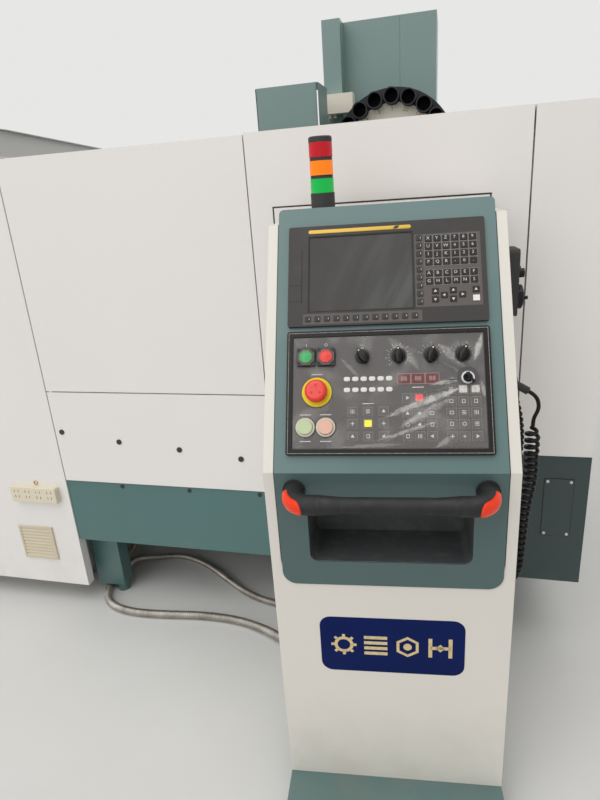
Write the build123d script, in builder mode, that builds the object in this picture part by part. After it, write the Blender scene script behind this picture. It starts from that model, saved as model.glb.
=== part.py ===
from build123d import *
import math
import os

os.makedirs("parts", exist_ok=True)

# Sheet guard, measured from its front plane, the machine's middle and the floor
GUARD_HALF = 1300.0
GUARD_TOP = 1550.0
SHEET = 3.0
FOLD = 35.0
SEAM = 4.0
DOOR_LEFT = -351.0
DOOR_RIGHT = 401.0
RIGHT_COVER_WIDTH = 198.0
CENTRE_RIGHT = GUARD_HALF - RIGHT_COVER_WIDTH
DOOR_BOTTOM = 842.0
PANEL_BOTTOM = 517.0
SKIRT_BOTTOM = 278.0
SKIRT_SPLIT = 760.0
RIGHT_SKIRT_TOP = 678.0
SKIRT_RECESS = 4.0
LEFT_BOTTOM = 80.0
END_WALL_RISE = 245.0
REAR_WALL_TOP = 1300.0
REAR_WALL_BOTTOM = 120.0
SERVICE_LEFT = 467.0
SERVICE_MARGIN = 86.0
SERVICE_RIGHT = CENTRE_RIGHT - SERVICE_MARGIN
SERVICE_TOP = 1367.0
GROOVE = 4.0

# Welded tube frame behind the sheets
TUBE = 40.0
LOW_RAIL = 525.0
LEG_WIDTH = 110.0
LEG_DEPTH = 60.0
LEG_BOTTOM = 34.0
LEG_GLAND_X = -291.0
LEG_GLAND_Z = 56.0

# Door hinge
PIVOT_INSET = 13.0
PIVOT_DEPTH = 8.0
PIVOT_RADIUS = 4.0
PIVOT_FIT = 0.1
DOOR_FOLD = 30.0
STIFFENERS = 3
STIFFENER_RISE = 158.0
STIFFENER_PITCH = 200.0

# Cast bed and its linear rails
BED_END_GAP = 100.0
BED_LENGTH = 2 * (GUARD_HALF - BED_END_GAP)
BED_FRONT = 600.0
BED_DEPTH = 1720.0
BED_BOTTOM = 60.0
BED_TOP = 600.0
BED_WALL = 40.0
ANCHOR_REACH = 28.0
ANCHOR_X = BED_LENGTH / 2 + ANCHOR_REACH
ANCHOR_INSET = 100.0
ANCHOR_Y = BED_DEPTH / 2 - ANCHOR_INSET
ANCHOR_HOLE = 12.0
RAIL_RUN = 0.3
X_RAIL_FRONT = 1130.0
X_RAIL_INSET = 120.0
X_RAIL_REAR = BED_FRONT + BED_DEPTH - X_RAIL_INSET
X_RAIL_SIZE = 45.0
Y_RAIL_SIZE = 40.0
Z_RAIL_SIZE = 36.0
Z_RAIL_BOTTOM = 900.0

# Work table and its clamps
TABLE_END_GAP = 240.0
TABLE_LEFT = TABLE_END_GAP - GUARD_HALF
TABLE_RIGHT = 540.0
TABLE_FRONT = 620.0
TABLE_DEPTH = 350.0
TABLE_TOP = 700.0
SLOT_PITCH = 80.0
CLAMP_PITCH = 400.0
CLAMP_WIDTH = 90.0

# Travelling column and what it carries
COLUMN_LEFT = 20.0
COLUMN_WIDTH = 823.0
SADDLE_FRONT = 1040.0
SADDLE_DEPTH = 1260.0
SADDLE_BOTTOM = 660.0
SADDLE_TOP = 760.0
COLUMN_FRONT = 1750.0
COLUMN_DEPTH = 450.0
COLUMN_BOTTOM = 815.0
COLUMN_TOP = 1700.0
SADDLE_CLEARANCE = 100.0
BED_CLEARANCE = 80.0
GUARD_DEPTH = max(
    SADDLE_FRONT + SADDLE_DEPTH + SADDLE_CLEARANCE,
    COLUMN_FRONT + COLUMN_DEPTH + SADDLE_CLEARANCE,
    BED_FRONT + BED_DEPTH + BED_CLEARANCE,
)
TOWER_LEFT = 278.0
TOWER_RIGHT = 835.0
TOWER_TOP = 2190.0
TOWER_SETBACK = 100.0
TOWER_STRIP = 92.0
SPINDLE_X = 190.0
SPINDLE_Y = 1440.0
SPINDLE_FACE = 1190.0
SPINDLE_SHAFT = 45.0
HEAD_WIDTH = 240.0
HEAD_BOTTOM = 1250.0
HEAD_TOP = 1600.0
HEAD_FRONT = 1320.0
RUNNING_FIT = 0.05

# Disc tool magazine and changing arm
DISC_X = 637.0
DISC_Z = 1540.0
DISC_RADIUS = 298.0
POCKETS = 20
POCKET_PITCH = 256.0
POCKET_OUTER = 37.0
POCKET_BORE = 31.5
POCKET_FRONT = 1530.0
POCKET_BACK = 1670.0
HUB_RADIUS = 40.0
ARM_BOTTOM = 1150.0
ARM_THICK = 30.0
ARM_SHAFT = 22.0
QUILL_RADIUS = 34.0

# Operator console, turned a little about the vertical and standing before the guard
CONSOLE_X = 815.0
CONSOLE_Y = -539.0
CONSOLE_TURN = 5.9
CONSOLE_HALF = 247.0
CONSOLE_DEPTH = 500.0
FOOT_HEIGHT = 68.0
HOOK_Z = 1215.0
HOOK_WIDTH = 50.0
HOOK_HEIGHT = 112.0
FOOT_FRONT = -150.0
KNEE = 880.0
SLANT = 30.9
SLANT_LENGTH = 565.0
STRIP_TOP = 1335.0
CROWN_TOP = 1362.0
FASCIA_HALF = 224.0
FASCIA_BOTTOM = 620.0
TRAY_HALF = 163.0
TRAY_BOTTOM = 677.0
TRAY_TOP = 805.0
TRAY_DEPTH = 120.0
FACE_CENTRE = 408.0
DISPLAY_HALF_U = 200.0
DISPLAY_HALF_V = 110.0
DISPLAY_THICK = 8.0
PANEL_TOP_V = -121.0
PANEL_BOTTOM_V = -374.0
PLATE_THICK = 6.0
FRAME_THICK = 9.0
STROKE = 4.0
BUTTON_GAP = 0.3
HANDLE_HALF = 186.0
HANDLE_REACH = 60.0
HANDLE_Z = 844.0
HANDLE_RADIUS = 16.0
ELBOW_RADIUS = 19.5
BEACON_XC = -132.0
BEACON_YC = 330.0
BEACON_RADIUS = 25.0

# Hand pulse pendant on the console's right side
PENDANT_FRONT = 300.0
PENDANT_WIDTH = 80.0
PENDANT_BOTTOM = 1110.0
PENDANT_TOP = 1254.0
PENDANT_BACK = 253.0
PENDANT_FACE = 284.0

# Free cords
CORD_DIAMETER = 8.0
COIL_DIAMETER = 32.0
CONDUIT_A_DIAMETER = 28.0
CONDUIT_B_DIAMETER = 25.0

FRONT = -(BED_FRONT + BED_DEPTH / 2)


def level(z):
    """A horizontal plane seen from above, its own y counted from the guard's front."""
    return Plane(origin=(0, FRONT, z), x_dir=(1, 0, 0), z_dir=(0, 0, 1))


def upright(y):
    """A plane parallel to the guard's front, facing the operator."""
    return Plane(origin=(0, FRONT + y, 0), x_dir=(1, 0, 0), z_dir=(0, -1, 0))


def across(x):
    """A plane square to the machine's length, facing right."""
    return Plane(origin=(x, FRONT, 0), x_dir=(0, 1, 0), z_dir=(1, 0, 0))


CONSOLE = Plane(
    origin=(CONSOLE_X, FRONT + CONSOLE_Y, 0),
    x_dir=(math.cos(math.radians(CONSOLE_TURN)), math.sin(math.radians(CONSOLE_TURN)), 0),
    z_dir=(0, 0, 1),
)


def console_level(z):
    """A horizontal plane in the console's own directions."""
    return CONSOLE.offset(z)


def console_front(yc):
    """A plane parallel to the console's front, facing the operator."""
    origin = CONSOLE.from_local_coords((0, yc, 0))
    return Plane(origin=origin, x_dir=CONSOLE.x_dir, z_dir=-CONSOLE.y_dir)


def console_side(xc):
    """A plane parallel to the console's sides, facing right."""
    origin = CONSOLE.from_local_coords((xc, 0, 0))
    return Plane(origin=origin, x_dir=CONSOLE.y_dir, z_dir=CONSOLE.x_dir)


def slant(along, sunk=0.0):
    """A point of the slanted face's profile: its way up from the knee, and how deep it is sunk."""
    lean = math.radians(SLANT)
    return (
        along * math.sin(lean) + sunk * math.cos(lean),
        KNEE + along * math.cos(lean) - sunk * math.sin(lean),
    )


def face(height=0.0):
    """The slanted face's plane about the display's middle, raised by a height."""
    yc, z = slant(FACE_CENTRE)
    lean = math.radians(SLANT)
    outward = CONSOLE.y_dir * (-math.cos(lean)) + CONSOLE.z_dir * math.sin(lean)
    centre = Plane(
        origin=CONSOLE.from_local_coords((0, yc, z)), x_dir=CONSOLE.x_dir, z_dir=outward
    )
    return centre.offset(height)


def box_between(x_range, y_range, z_range, mode=Mode.ADD):
    """A straight block between two corners of the machine's frame."""
    with BuildSketch(level(z_range[0])) as plan:
        with Locations(((x_range[0] + x_range[1]) / 2, (y_range[0] + y_range[1]) / 2)):
            Rectangle(x_range[1] - x_range[0], y_range[1] - y_range[0])
    extrude(plan.sketch, amount=z_range[1] - z_range[0], mode=mode)


def prism(plane, points, amount, mode=Mode.ADD):
    """A straight-sided outline given a thickness along its plane's normal."""
    with BuildSketch(plane) as outline:
        with BuildLine():
            Polyline(*points, close=True)
        make_face()
    extrude(outline.sketch, amount=amount, mode=mode)


def rod(plane, places, radius, amount, mode=Mode.ADD):
    """Round bars or bores standing on a plane."""
    with BuildSketch(plane) as circles:
        with Locations(*places):
            Circle(radius)
    extrude(circles.sketch, amount=amount, mode=mode)


def plates(plane, places, width, height, amount, corner=0.0, mode=Mode.ADD):
    """Rectangles, rounded if asked, standing on a plane."""
    with BuildSketch(plane) as outline:
        with Locations(*places):
            if corner > 0:
                RectangleRounded(width, height, corner)
            else:
                Rectangle(width, height)
    extrude(outline.sketch, amount=amount, mode=mode)


def pan(plane, points, depth):
    """A folded sheet: flat on an outward plane, with all its edges turned back."""
    prism(plane, points, -depth)
    with BuildSketch(plane.offset(-SHEET)) as hollow:
        with BuildLine():
            Polyline(*points, close=True)
        make_face()
        offset(amount=-SHEET, kind=Kind.INTERSECTION)
    extrude(hollow.sketch, amount=-(depth - SHEET), mode=Mode.SUBTRACT)


def oblong(x0, x1, z0, z1):
    """The four corners of an upright rectangle."""
    return [(x0, z0), (x1, z0), (x1, z1), (x0, z1)]


def rail_section(plane, place, size, spread=0.0):
    """The waisted section of a linear rail, or of the slot that runs on it."""
    half = size / 2 + spread
    waist = size * 0.33 + spread
    side = [
        (half, -spread), (half, size * 0.3), (waist, size * 0.42), (waist, size * 0.6),
        (half, size * 0.72), (half, size + spread),
    ]
    points = side + [(-x, y) for x, y in reversed(side)]
    with BuildSketch(plane) as section:
        with BuildLine():
            Polyline(*[(place[0] + x, place[1] + y) for x, y in points], close=True)
        make_face()
    return section.sketch


def write(builder, name):
    """Label a finished piece and write it under its own name."""
    builder.part.label = name
    export_step(builder.part, f"parts/{name}.step")


# Cast bed: an open-bottomed box casting with ribs, rail seats, feet and anchor lugs
half_bed = BED_LENGTH / 2
bed_rear = BED_FRONT + BED_DEPTH
RIB_HEIGHT = 150.0
RIB_COUNTS = (8, 5)
rib_bottom = BED_TOP - BED_WALL - RIB_HEIGHT
LUG_HEIGHT = 40.0
LUG_HALF = 70.0
FOOT_XS = [-600.0, 0.0, 600.0]
with BuildPart() as bed_frame:
    box_between((-half_bed, half_bed), (BED_FRONT, bed_rear), (BED_BOTTOM, BED_TOP))
    chamfer(bed_frame.edges().filter_by(Axis.X).group_by(Axis.Z)[-1], 12)
    with BuildSketch(Plane.XY.offset(BED_BOTTOM)):
        Rectangle(BED_LENGTH - 2 * BED_WALL, BED_DEPTH - 2 * BED_WALL)
    extrude(amount=rib_bottom - BED_BOTTOM, mode=Mode.SUBTRACT)
    ribs_x, ribs_y = RIB_COUNTS
    pocket_x = (BED_LENGTH - BED_WALL * (ribs_x + 1)) / ribs_x
    pocket_y = (BED_DEPTH - BED_WALL * (ribs_y + 1)) / ribs_y
    with BuildSketch(Plane.XY.offset(rib_bottom)):
        with GridLocations(pocket_x + BED_WALL, pocket_y + BED_WALL, ribs_x, ribs_y):
            Rectangle(pocket_x, pocket_y)
    extrude(amount=RIB_HEIGHT, mode=Mode.SUBTRACT)
    for wall in (BED_FRONT, bed_rear - BED_WALL):
        with BuildSketch(upright(wall)):
            with Locations((0, (BED_TOP + BED_BOTTOM) / 2)):
                with GridLocations(pocket_x + BED_WALL, 1, ribs_x, 1):
                    RectangleRounded(pocket_x * 0.55, 180, 60)
        extrude(amount=-BED_WALL, mode=Mode.SUBTRACT)
    for y in (X_RAIL_FRONT, X_RAIL_REAR):
        rail = rail_section(across(-half_bed + 5), (y, BED_TOP), X_RAIL_SIZE)
        extrude(rail, amount=BED_LENGTH - 10)
    for side in (-1, 1):
        for y in (-ANCHOR_Y, ANCHOR_Y):
            inner, outer = sorted((side * (half_bed - 80), side * (half_bed + 55)))
            lug_y = (y - FRONT - LUG_HALF, y - FRONT + LUG_HALF)
            box_between((inner, outer), lug_y, (0, LUG_HEIGHT))
            inner, outer = sorted((side * (half_bed - 80), side * half_bed))
            box_between((inner, outer), lug_y, (0, BED_BOTTOM))
            rod(Plane.XY, [(side * ANCHOR_X, y)], ANCHOR_HOLE, LUG_HEIGHT, Mode.SUBTRACT)
    foot_y = BED_DEPTH / 2 - BED_WALL / 2
    foot_places = [(x, y) for x in FOOT_XS for y in (-foot_y, foot_y)]
    rod(Plane.XY, foot_places, 55, 20)
    rod(Plane.XY.offset(20), foot_places, BED_WALL / 2 - 3, BED_BOTTOM - 20)
    CONDUIT_GLAND_Z = 92.0
    GLAND_LENGTH = 30.0
    GLAND_A_X = -352.0
    rod(upright(BED_FRONT + 5), [(GLAND_A_X, CONDUIT_GLAND_Z)], 24, GLAND_LENGTH + 5)
write(bed_frame, "bed_frame")

# Chip pan: one bent sheet that falls from the guard's frame to the bed's front
PAN_FRONT = FOLD + TUBE + LEG_DEPTH
with BuildPart() as chip_pan:
    with BuildSketch(across(-380)):
        with BuildLine():
            Polyline(
                (PAN_FRONT, LOW_RAIL - 60), (PAN_FRONT, LOW_RAIL + 30),
                (PAN_FRONT + SHEET, LOW_RAIL + 30), (PAN_FRONT + SHEET, LOW_RAIL - 57),
                (360, 380 + SHEET), (BED_FRONT, 430 + SHEET), (BED_FRONT, 430), (360, 380),
                close=True,
            )
        make_face()
    extrude(amount=1560)
write(chip_pan, "chip_pan")

# Work table with its slots and the clamp bodies that stand on it
table_back = TABLE_FRONT + TABLE_DEPTH
clamp_xs = [TABLE_LEFT + 200 + n * CLAMP_PITCH for n in range(4)]
CLAMP_TOP = 830.0
GUIDE_HALF = 18.0
with BuildPart() as work_table:
    box_between((TABLE_LEFT, TABLE_RIGHT), (TABLE_FRONT, table_back), (BED_TOP, TABLE_TOP))
    for row in range(3):
        centre = TABLE_FRONT + TABLE_DEPTH / 2 + (row - 1) * SLOT_PITCH
        with BuildSketch(across(TABLE_LEFT)):
            with Locations((centre, TABLE_TOP - 14)):
                Rectangle(18, 28)
            with Locations((centre, TABLE_TOP - 22)):
                Rectangle(30, 12)
        extrude(amount=TABLE_RIGHT - TABLE_LEFT, mode=Mode.SUBTRACT)
    for x in clamp_xs:
        half = CLAMP_WIDTH / 2
        prism(
            across(x - half),
            [(TABLE_FRONT + 8, TABLE_TOP), (TABLE_FRONT + 8, TABLE_TOP + 60),
             (TABLE_FRONT + 40, CLAMP_TOP), (TABLE_FRONT + 75, CLAMP_TOP),
             (TABLE_FRONT + 75, TABLE_TOP + 30), (table_back - 10, TABLE_TOP + 30),
             (table_back - 10, TABLE_TOP)],
            CLAMP_WIDTH,
        )
        box_between(
            (x - GUIDE_HALF, x + GUIDE_HALF), (TABLE_FRONT + 75, table_back - 30),
            (TABLE_TOP + 30, TABLE_TOP + 48),
        )
write(work_table, "work_table")

# Moving jaws, one on each clamp's guide
JAW_FRONT = table_back - 110
with BuildPart() as clamp_jaws:
    for x in clamp_xs:
        half = CLAMP_WIDTH / 2
        prism(
            across(x - half),
            [(JAW_FRONT, TABLE_TOP + 30 + RAIL_RUN), (JAW_FRONT, CLAMP_TOP),
             (JAW_FRONT + 35, CLAMP_TOP), (JAW_FRONT + 75, TABLE_TOP + 70),
             (JAW_FRONT + 75, TABLE_TOP + 30 + RAIL_RUN)],
            CLAMP_WIDTH,
        )
        box_between(
            (x - GUIDE_HALF - RAIL_RUN, x + GUIDE_HALF + RAIL_RUN),
            (JAW_FRONT - 1, JAW_FRONT + 80),
            (TABLE_TOP + 30, TABLE_TOP + 48 + RAIL_RUN), Mode.SUBTRACT,
        )
write(clamp_jaws, "clamp_jaws")

# Guard frame: square tubes behind the sheets, with the legs that stand on the floor
tube_front = FOLD
tube_back = FOLD + TUBE
frame_half = GUARD_HALF - SHEET
top_rail = GUARD_TOP - 45.0
frame_top = top_rail + TUBE
left_post = DOOR_LEFT - 46.0
right_post = DOOR_RIGHT + 7.0
rear_post = GUARD_DEPTH - 60.0
with BuildPart() as guard_frame:
    box_between((-frame_half, frame_half), (tube_front, tube_back), (LOW_RAIL, LOW_RAIL + TUBE))
    box_between((-frame_half, left_post + TUBE), (tube_front, tube_back), (top_rail, frame_top))
    box_between((right_post, frame_half), (tube_front, tube_back), (top_rail, frame_top))
    skirt_rail = SKIRT_BOTTOM + 12.0
    box_between((left_post, frame_half), (tube_front, tube_back), (skirt_rail, skirt_rail + TUBE))
    for x in (left_post, right_post):
        box_between((x, x + TUBE), (tube_front, tube_back), (skirt_rail, frame_top))
    box_between((-frame_half, -frame_half + TUBE), (tube_front, tube_back), (20, frame_top))
    box_between(
        (frame_half - TUBE, frame_half), (tube_front, tube_back), (skirt_rail, frame_top)
    )
    for side in (-1, 1):
        inner, outer = sorted((side * frame_half, side * (frame_half - TUBE)))
        for z in (LOW_RAIL, top_rail):
            box_between((inner, outer), (tube_front, rear_post + TUBE), (z, z + TUBE))
        box_between((inner, outer), (rear_post, rear_post + TUBE), (20, frame_top))
    box_between(
        (-frame_half, frame_half), (rear_post, rear_post + TUBE),
        (REAR_WALL_TOP - 60, REAR_WALL_TOP - 60 + TUBE),
    )
    leg_lefts = [DOOR_LEFT - 15, SKIRT_SPLIT - 120]
    for x in leg_lefts:
        box_between(
            (x, x + LEG_WIDTH), (tube_back, tube_back + LEG_DEPTH), (LEG_BOTTOM, LOW_RAIL + TUBE)
        )
        rod(Plane.XY, [(x + 84, FRONT + tube_back + LEG_DEPTH / 2)], 22, LEG_BOTTOM + 4)
    rod(upright(tube_back + LEG_DEPTH - 4), [(LEG_GLAND_X, LEG_GLAND_Z)], 19, -24)
    corner_feet = [(-frame_half + 20, FRONT + tube_front + 20)]
    for side in (-1, 1):
        corner_feet.append((side * (frame_half - 20), FRONT + rear_post + 20))
    rod(Plane.XY, corner_feet, 17, 20)
write(guard_frame, "guard_frame")

# Electrical cabinet behind the left cover, with two doors scored on its rear
CABINET_END_GAP = 50.0
CABINET_LEFT = CABINET_END_GAP - GUARD_HALF
CABINET_DEPTH = 345.0
CABINET_BOTTOM = 90.0
CABINET_TOP = 1500.0
with BuildPart() as electrical_cabinet:
    box_between(
        (CABINET_LEFT, left_post), (tube_back, tube_back + CABINET_DEPTH),
        (CABINET_BOTTOM, CABINET_TOP),
    )
    mid = (CABINET_LEFT + left_post) / 2
    cabinet_rear = upright(tube_back + CABINET_DEPTH)
    plates(cabinet_rear, [(mid, (CABINET_BOTTOM + CABINET_TOP) / 2)], GROOVE,
           CABINET_TOP - CABINET_BOTTOM - 60, 3, mode=Mode.SUBTRACT)
    for x in (mid - 60, mid + 60):
        rod(cabinet_rear, [(x, 800)], 14, -9)
    box_between(
        (CABINET_LEFT + 60, left_post - 60), (tube_back + 30, tube_back + CABINET_DEPTH - 30),
        (0, CABINET_BOTTOM),
    )
write(electrical_cabinet, "electrical_cabinet")

# Left cover: a large folded sheet with the tab that carries the door's upper pin
pivot_x = DOOR_LEFT + PIVOT_INSET
door_top = GUARD_TOP - 4.5
with BuildPart() as left_cover:
    left_edge = DOOR_LEFT - SEAM
    pan(upright(0), oblong(-GUARD_HALF, left_edge, LEFT_BOTTOM, GUARD_TOP), FOLD)
    box_between((left_edge, pivot_x + 13), (0, DOOR_FOLD), (GUARD_TOP - SHEET, GUARD_TOP))
    rod(level(GUARD_TOP - SHEET), [(pivot_x, PIVOT_DEPTH)], PIVOT_RADIUS, -16)
write(left_cover, "left_cover")

# Left end wall: one sheet with a raised top edge
wall_top = GUARD_TOP + END_WALL_RISE
wall_outline = [
    (FOLD, LEFT_BOTTOM), (FOLD, GUARD_TOP), (375, wall_top - 5), (1240, wall_top),
    (2010, wall_top - 43), (GUARD_DEPTH, wall_top - 65), (GUARD_DEPTH, LEFT_BOTTOM),
]
with BuildPart() as left_end_wall:
    prism(across(-GUARD_HALF), wall_outline, SHEET)
    rim = [p for p in wall_outline if p[1] > LEFT_BOTTOM]
    under = [(y, z - SHEET) for y, z in reversed(rim)]
    prism(across(-GUARD_HALF), rim + under, FOLD)
write(left_end_wall, "left_end_wall")

# Lower front panel with the seat of the door's lower pin and a row of plug holes
PLUG_RADIUS = 9.0
plug_places = [(-326.0, 698.0), (-117.0, 670.0), (95.0, 651.0), (301.0, 628.0)]
panel_top = DOOR_BOTTOM - SEAM
with BuildPart() as lower_panel:
    pan(upright(0), oblong(DOOR_LEFT, DOOR_RIGHT, PANEL_BOTTOM, panel_top), FOLD)
    rod(upright(0), plug_places, PLUG_RADIUS - 3, -SHEET, Mode.SUBTRACT)
    rod(level(panel_top), [(pivot_x, PIVOT_DEPTH)], PIVOT_RADIUS, 22)
    rod(level(panel_top), [(pivot_x, PIVOT_DEPTH)], 7.4, SEAM - 0.3)
write(lower_panel, "lower_panel")

# Loading door: a folded sheet on two pins near its left edge
with BuildPart() as loading_door:
    pan(upright(0), oblong(DOOR_LEFT, DOOR_RIGHT, DOOR_BOTTOM, door_top), DOOR_FOLD)
    rod(level(DOOR_BOTTOM), [(pivot_x, PIVOT_DEPTH)], 7.5, 22)
    rod(level(door_top), [(pivot_x, PIVOT_DEPTH)], 7.5, -18)
    hole = PIVOT_RADIUS + PIVOT_FIT
    rod(level(DOOR_BOTTOM), [(pivot_x, PIVOT_DEPTH)], hole, 22, Mode.SUBTRACT)
    rod(level(door_top), [(pivot_x, PIVOT_DEPTH)], hole, -18, Mode.SUBTRACT)
    for n in range(STIFFENERS):
        z = DOOR_BOTTOM + STIFFENER_RISE + n * STIFFENER_PITCH
        box_between((DOOR_LEFT + SHEET, DOOR_RIGHT - SHEET), (SHEET, 18), (z, z + 25))
write(loading_door, "loading_door")

# Centre front panel, stepped under the right cover, with a scored service plate
centre_left = DOOR_RIGHT + 3
with BuildPart() as centre_panel:
    pan(
        upright(0),
        [(centre_left, PANEL_BOTTOM), (SKIRT_SPLIT, PANEL_BOTTOM),
         (SKIRT_SPLIT, RIGHT_SKIRT_TOP + 2), (CENTRE_RIGHT, RIGHT_SKIRT_TOP + 2),
         (CENTRE_RIGHT, GUARD_TOP), (centre_left, GUARD_TOP)],
        FOLD,
    )
    groove_bottom = PANEL_BOTTOM + 60
    with BuildSketch(upright(0)):
        with BuildLine():
            Polyline(
                (SERVICE_LEFT, groove_bottom), (SERVICE_LEFT, SERVICE_TOP),
                (SERVICE_RIGHT, SERVICE_TOP), (SERVICE_RIGHT, RIGHT_SKIRT_TOP + 60),
                (SERVICE_RIGHT - GROOVE, RIGHT_SKIRT_TOP + 60),
                (SERVICE_RIGHT - GROOVE, SERVICE_TOP - GROOVE),
                (SERVICE_LEFT + GROOVE, SERVICE_TOP - GROOVE),
                (SERVICE_LEFT + GROOVE, groove_bottom), close=True,
            )
        make_face()
    extrude(amount=-SHEET / 2, mode=Mode.SUBTRACT)
write(centre_panel, "centre_panel")

# Right cover: the front strip bent round the corner into the right end wall
right_left = CENTRE_RIGHT + SEAM
with BuildPart() as right_cover:
    with BuildSketch(level(RIGHT_SKIRT_TOP + 2)):
        with BuildLine():
            Polyline(
                (right_left, FOLD), (right_left, 0), (GUARD_HALF, 0), (GUARD_HALF, GUARD_DEPTH),
                (GUARD_HALF - SHEET, GUARD_DEPTH), (GUARD_HALF - SHEET, SHEET),
                (right_left + SHEET, SHEET), (right_left + SHEET, FOLD), close=True,
            )
        make_face()
    extrude(amount=GUARD_TOP - RIGHT_SKIRT_TOP - 2)
    fillet(right_cover.edges().filter_by(Axis.Z).sort_by(
        lambda e: (e.center() - Vector(GUARD_HALF, FRONT, e.center().Z)).length)[0], 2.5)
    box_between(
        (GUARD_HALF - SHEET, GUARD_HALF), (FOLD + 3, GUARD_DEPTH),
        (SKIRT_BOTTOM, RIGHT_SKIRT_TOP + 2),
    )
    box_between((right_left, GUARD_HALF - SHEET), (SHEET, FOLD), (GUARD_TOP - SHEET, GUARD_TOP))
    box_between(
        (GUARD_HALF - FOLD, GUARD_HALF - SHEET), (FOLD, GUARD_DEPTH),
        (GUARD_TOP - SHEET, GUARD_TOP),
    )
write(right_cover, "right_cover")

# Front skirt, set back a little under the panels
SKIRT_PLUGS = [(-139.0, 503.0), (107.0, 503.0), (349.0, 503.0)]
with BuildPart() as front_skirt:
    pan(
        upright(SKIRT_RECESS),
        oblong(DOOR_LEFT - 3, SKIRT_SPLIT, SKIRT_BOTTOM, PANEL_BOTTOM - 3),
        FOLD - SKIRT_RECESS,
    )
    rod(upright(SKIRT_RECESS), SKIRT_PLUGS, 5, -SHEET, Mode.SUBTRACT)
write(front_skirt, "front_skirt")

# Right skirt with its screwed access plate
ACCESS_INSET = 76.0
ACCESS = (GUARD_HALF - ACCESS_INSET, 520.0)
ACCESS_WIDTH = 76.0
ACCESS_HEIGHT = 180.0
with BuildPart() as right_skirt:
    pan(
        upright(SKIRT_RECESS),
        oblong(SKIRT_SPLIT + 3, GUARD_HALF, SKIRT_BOTTOM, RIGHT_SKIRT_TOP),
        FOLD - SKIRT_RECESS,
    )
    plates(upright(SKIRT_RECESS), [ACCESS], ACCESS_WIDTH, ACCESS_HEIGHT, 2, 2)
    screw_places = [
        (ACCESS[0] + sx * (ACCESS_WIDTH / 2 - 8), ACCESS[1] + sz * (ACCESS_HEIGHT / 2 - 8))
        for sx in (-1, 1) for sz in (-1, 1)
    ]
    rod(upright(SKIRT_RECESS - 2), screw_places, 4, 1.5)
write(right_skirt, "right_skirt")

# Rear guard
with BuildPart() as rear_guard:
    rear_plane = Plane(origin=(0, FRONT + GUARD_DEPTH, 0), x_dir=(-1, 0, 0), z_dir=(0, 1, 0))
    pan(
        rear_plane, oblong(-frame_half, frame_half, REAR_WALL_BOTTOM, REAR_WALL_TOP),
        GUARD_DEPTH - rear_post - TUBE,
    )
write(rear_guard, "rear_guard")

# Black plugs in the panel's and skirt's holes
with BuildPart() as panel_plugs:
    for places, front, radius in (
        (plug_places, 0.0, PLUG_RADIUS), (SKIRT_PLUGS, SKIRT_RECESS, 7.0)
    ):
        rod(upright(front), places, radius, 2.5)
        rod(upright(front), places, radius - 3.2 if radius == PLUG_RADIUS else 4.8, -6)
write(panel_plugs, "panel_plugs")

# Vent grille on the left cover: a frame with louvres that slope down and out
VENT = (-526.0, 252.5)
VENT_WIDTH = 140.0
VENT_HEIGHT = 135.0
LOUVRES = 9
with BuildPart() as vent_grille:
    plates(upright(0), [VENT], VENT_WIDTH, VENT_HEIGHT, 6)
    plates(upright(0), [VENT], VENT_WIDTH - 16, VENT_HEIGHT - 16, 6, mode=Mode.SUBTRACT)
    pitch = (VENT_HEIGHT - 16) / LOUVRES
    for n in range(LOUVRES):
        low = VENT[1] - (VENT_HEIGHT - 16) / 2 + n * pitch
        prism(
            across(VENT[0] - VENT_WIDTH / 2 + 7),
            [(0, low), (0, low + pitch), (-1, low + pitch), (-5.5, low + 2), (-5.5, low)],
            VENT_WIDTH - 14,
        )
write(vent_grille, "vent_grille")

# Socket strip screwed to the left cover
STRIP = (-483.5, 460.0)
STRIP_WIDTH = 185.0
STRIP_HEIGHT = 60.0
with BuildPart() as socket_strip:
    plates(upright(0), [STRIP], STRIP_WIDTH, STRIP_HEIGHT, 22, 6)
    chamfer(socket_strip.edges().filter_by(Plane.XZ).group_by(Axis.Y)[0], 2)
    for n in range(4):
        x = STRIP[0] - 66 + n * 44
        for dx, dz, w, h in ((-7, -8, 3, 11), (7, -8, 3, 11), (-8, 13, 3, 9), (8, 13, 3, 9)):
            plates(upright(-22), [(x + dx, STRIP[1] + dz)], w, h, -8, mode=Mode.SUBTRACT)
write(socket_strip, "socket_strip")

# Saddle: a ribbed plate with four rail blocks below and two rails above
column_mid = COLUMN_LEFT + COLUMN_WIDTH / 2
column_right = COLUMN_LEFT + COLUMN_WIDTH
saddle_back = SADDLE_FRONT + SADDLE_DEPTH
Y_RAIL_SPREAD = 281.5
BLOCK_LENGTH = 130.0


def rail_blocks(planes, place, size, z_range, length):
    """Carriages: blocks with a running slot of the rail's own section."""
    middle = (place[0], (z_range[0] + z_range[1]) / 2)
    for plane in planes:
        plates(plane, [middle], size * 2.1, z_range[1] - z_range[0], length)
        extrude(rail_section(plane, place, size, RAIL_RUN), amount=length, mode=Mode.SUBTRACT)


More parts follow.
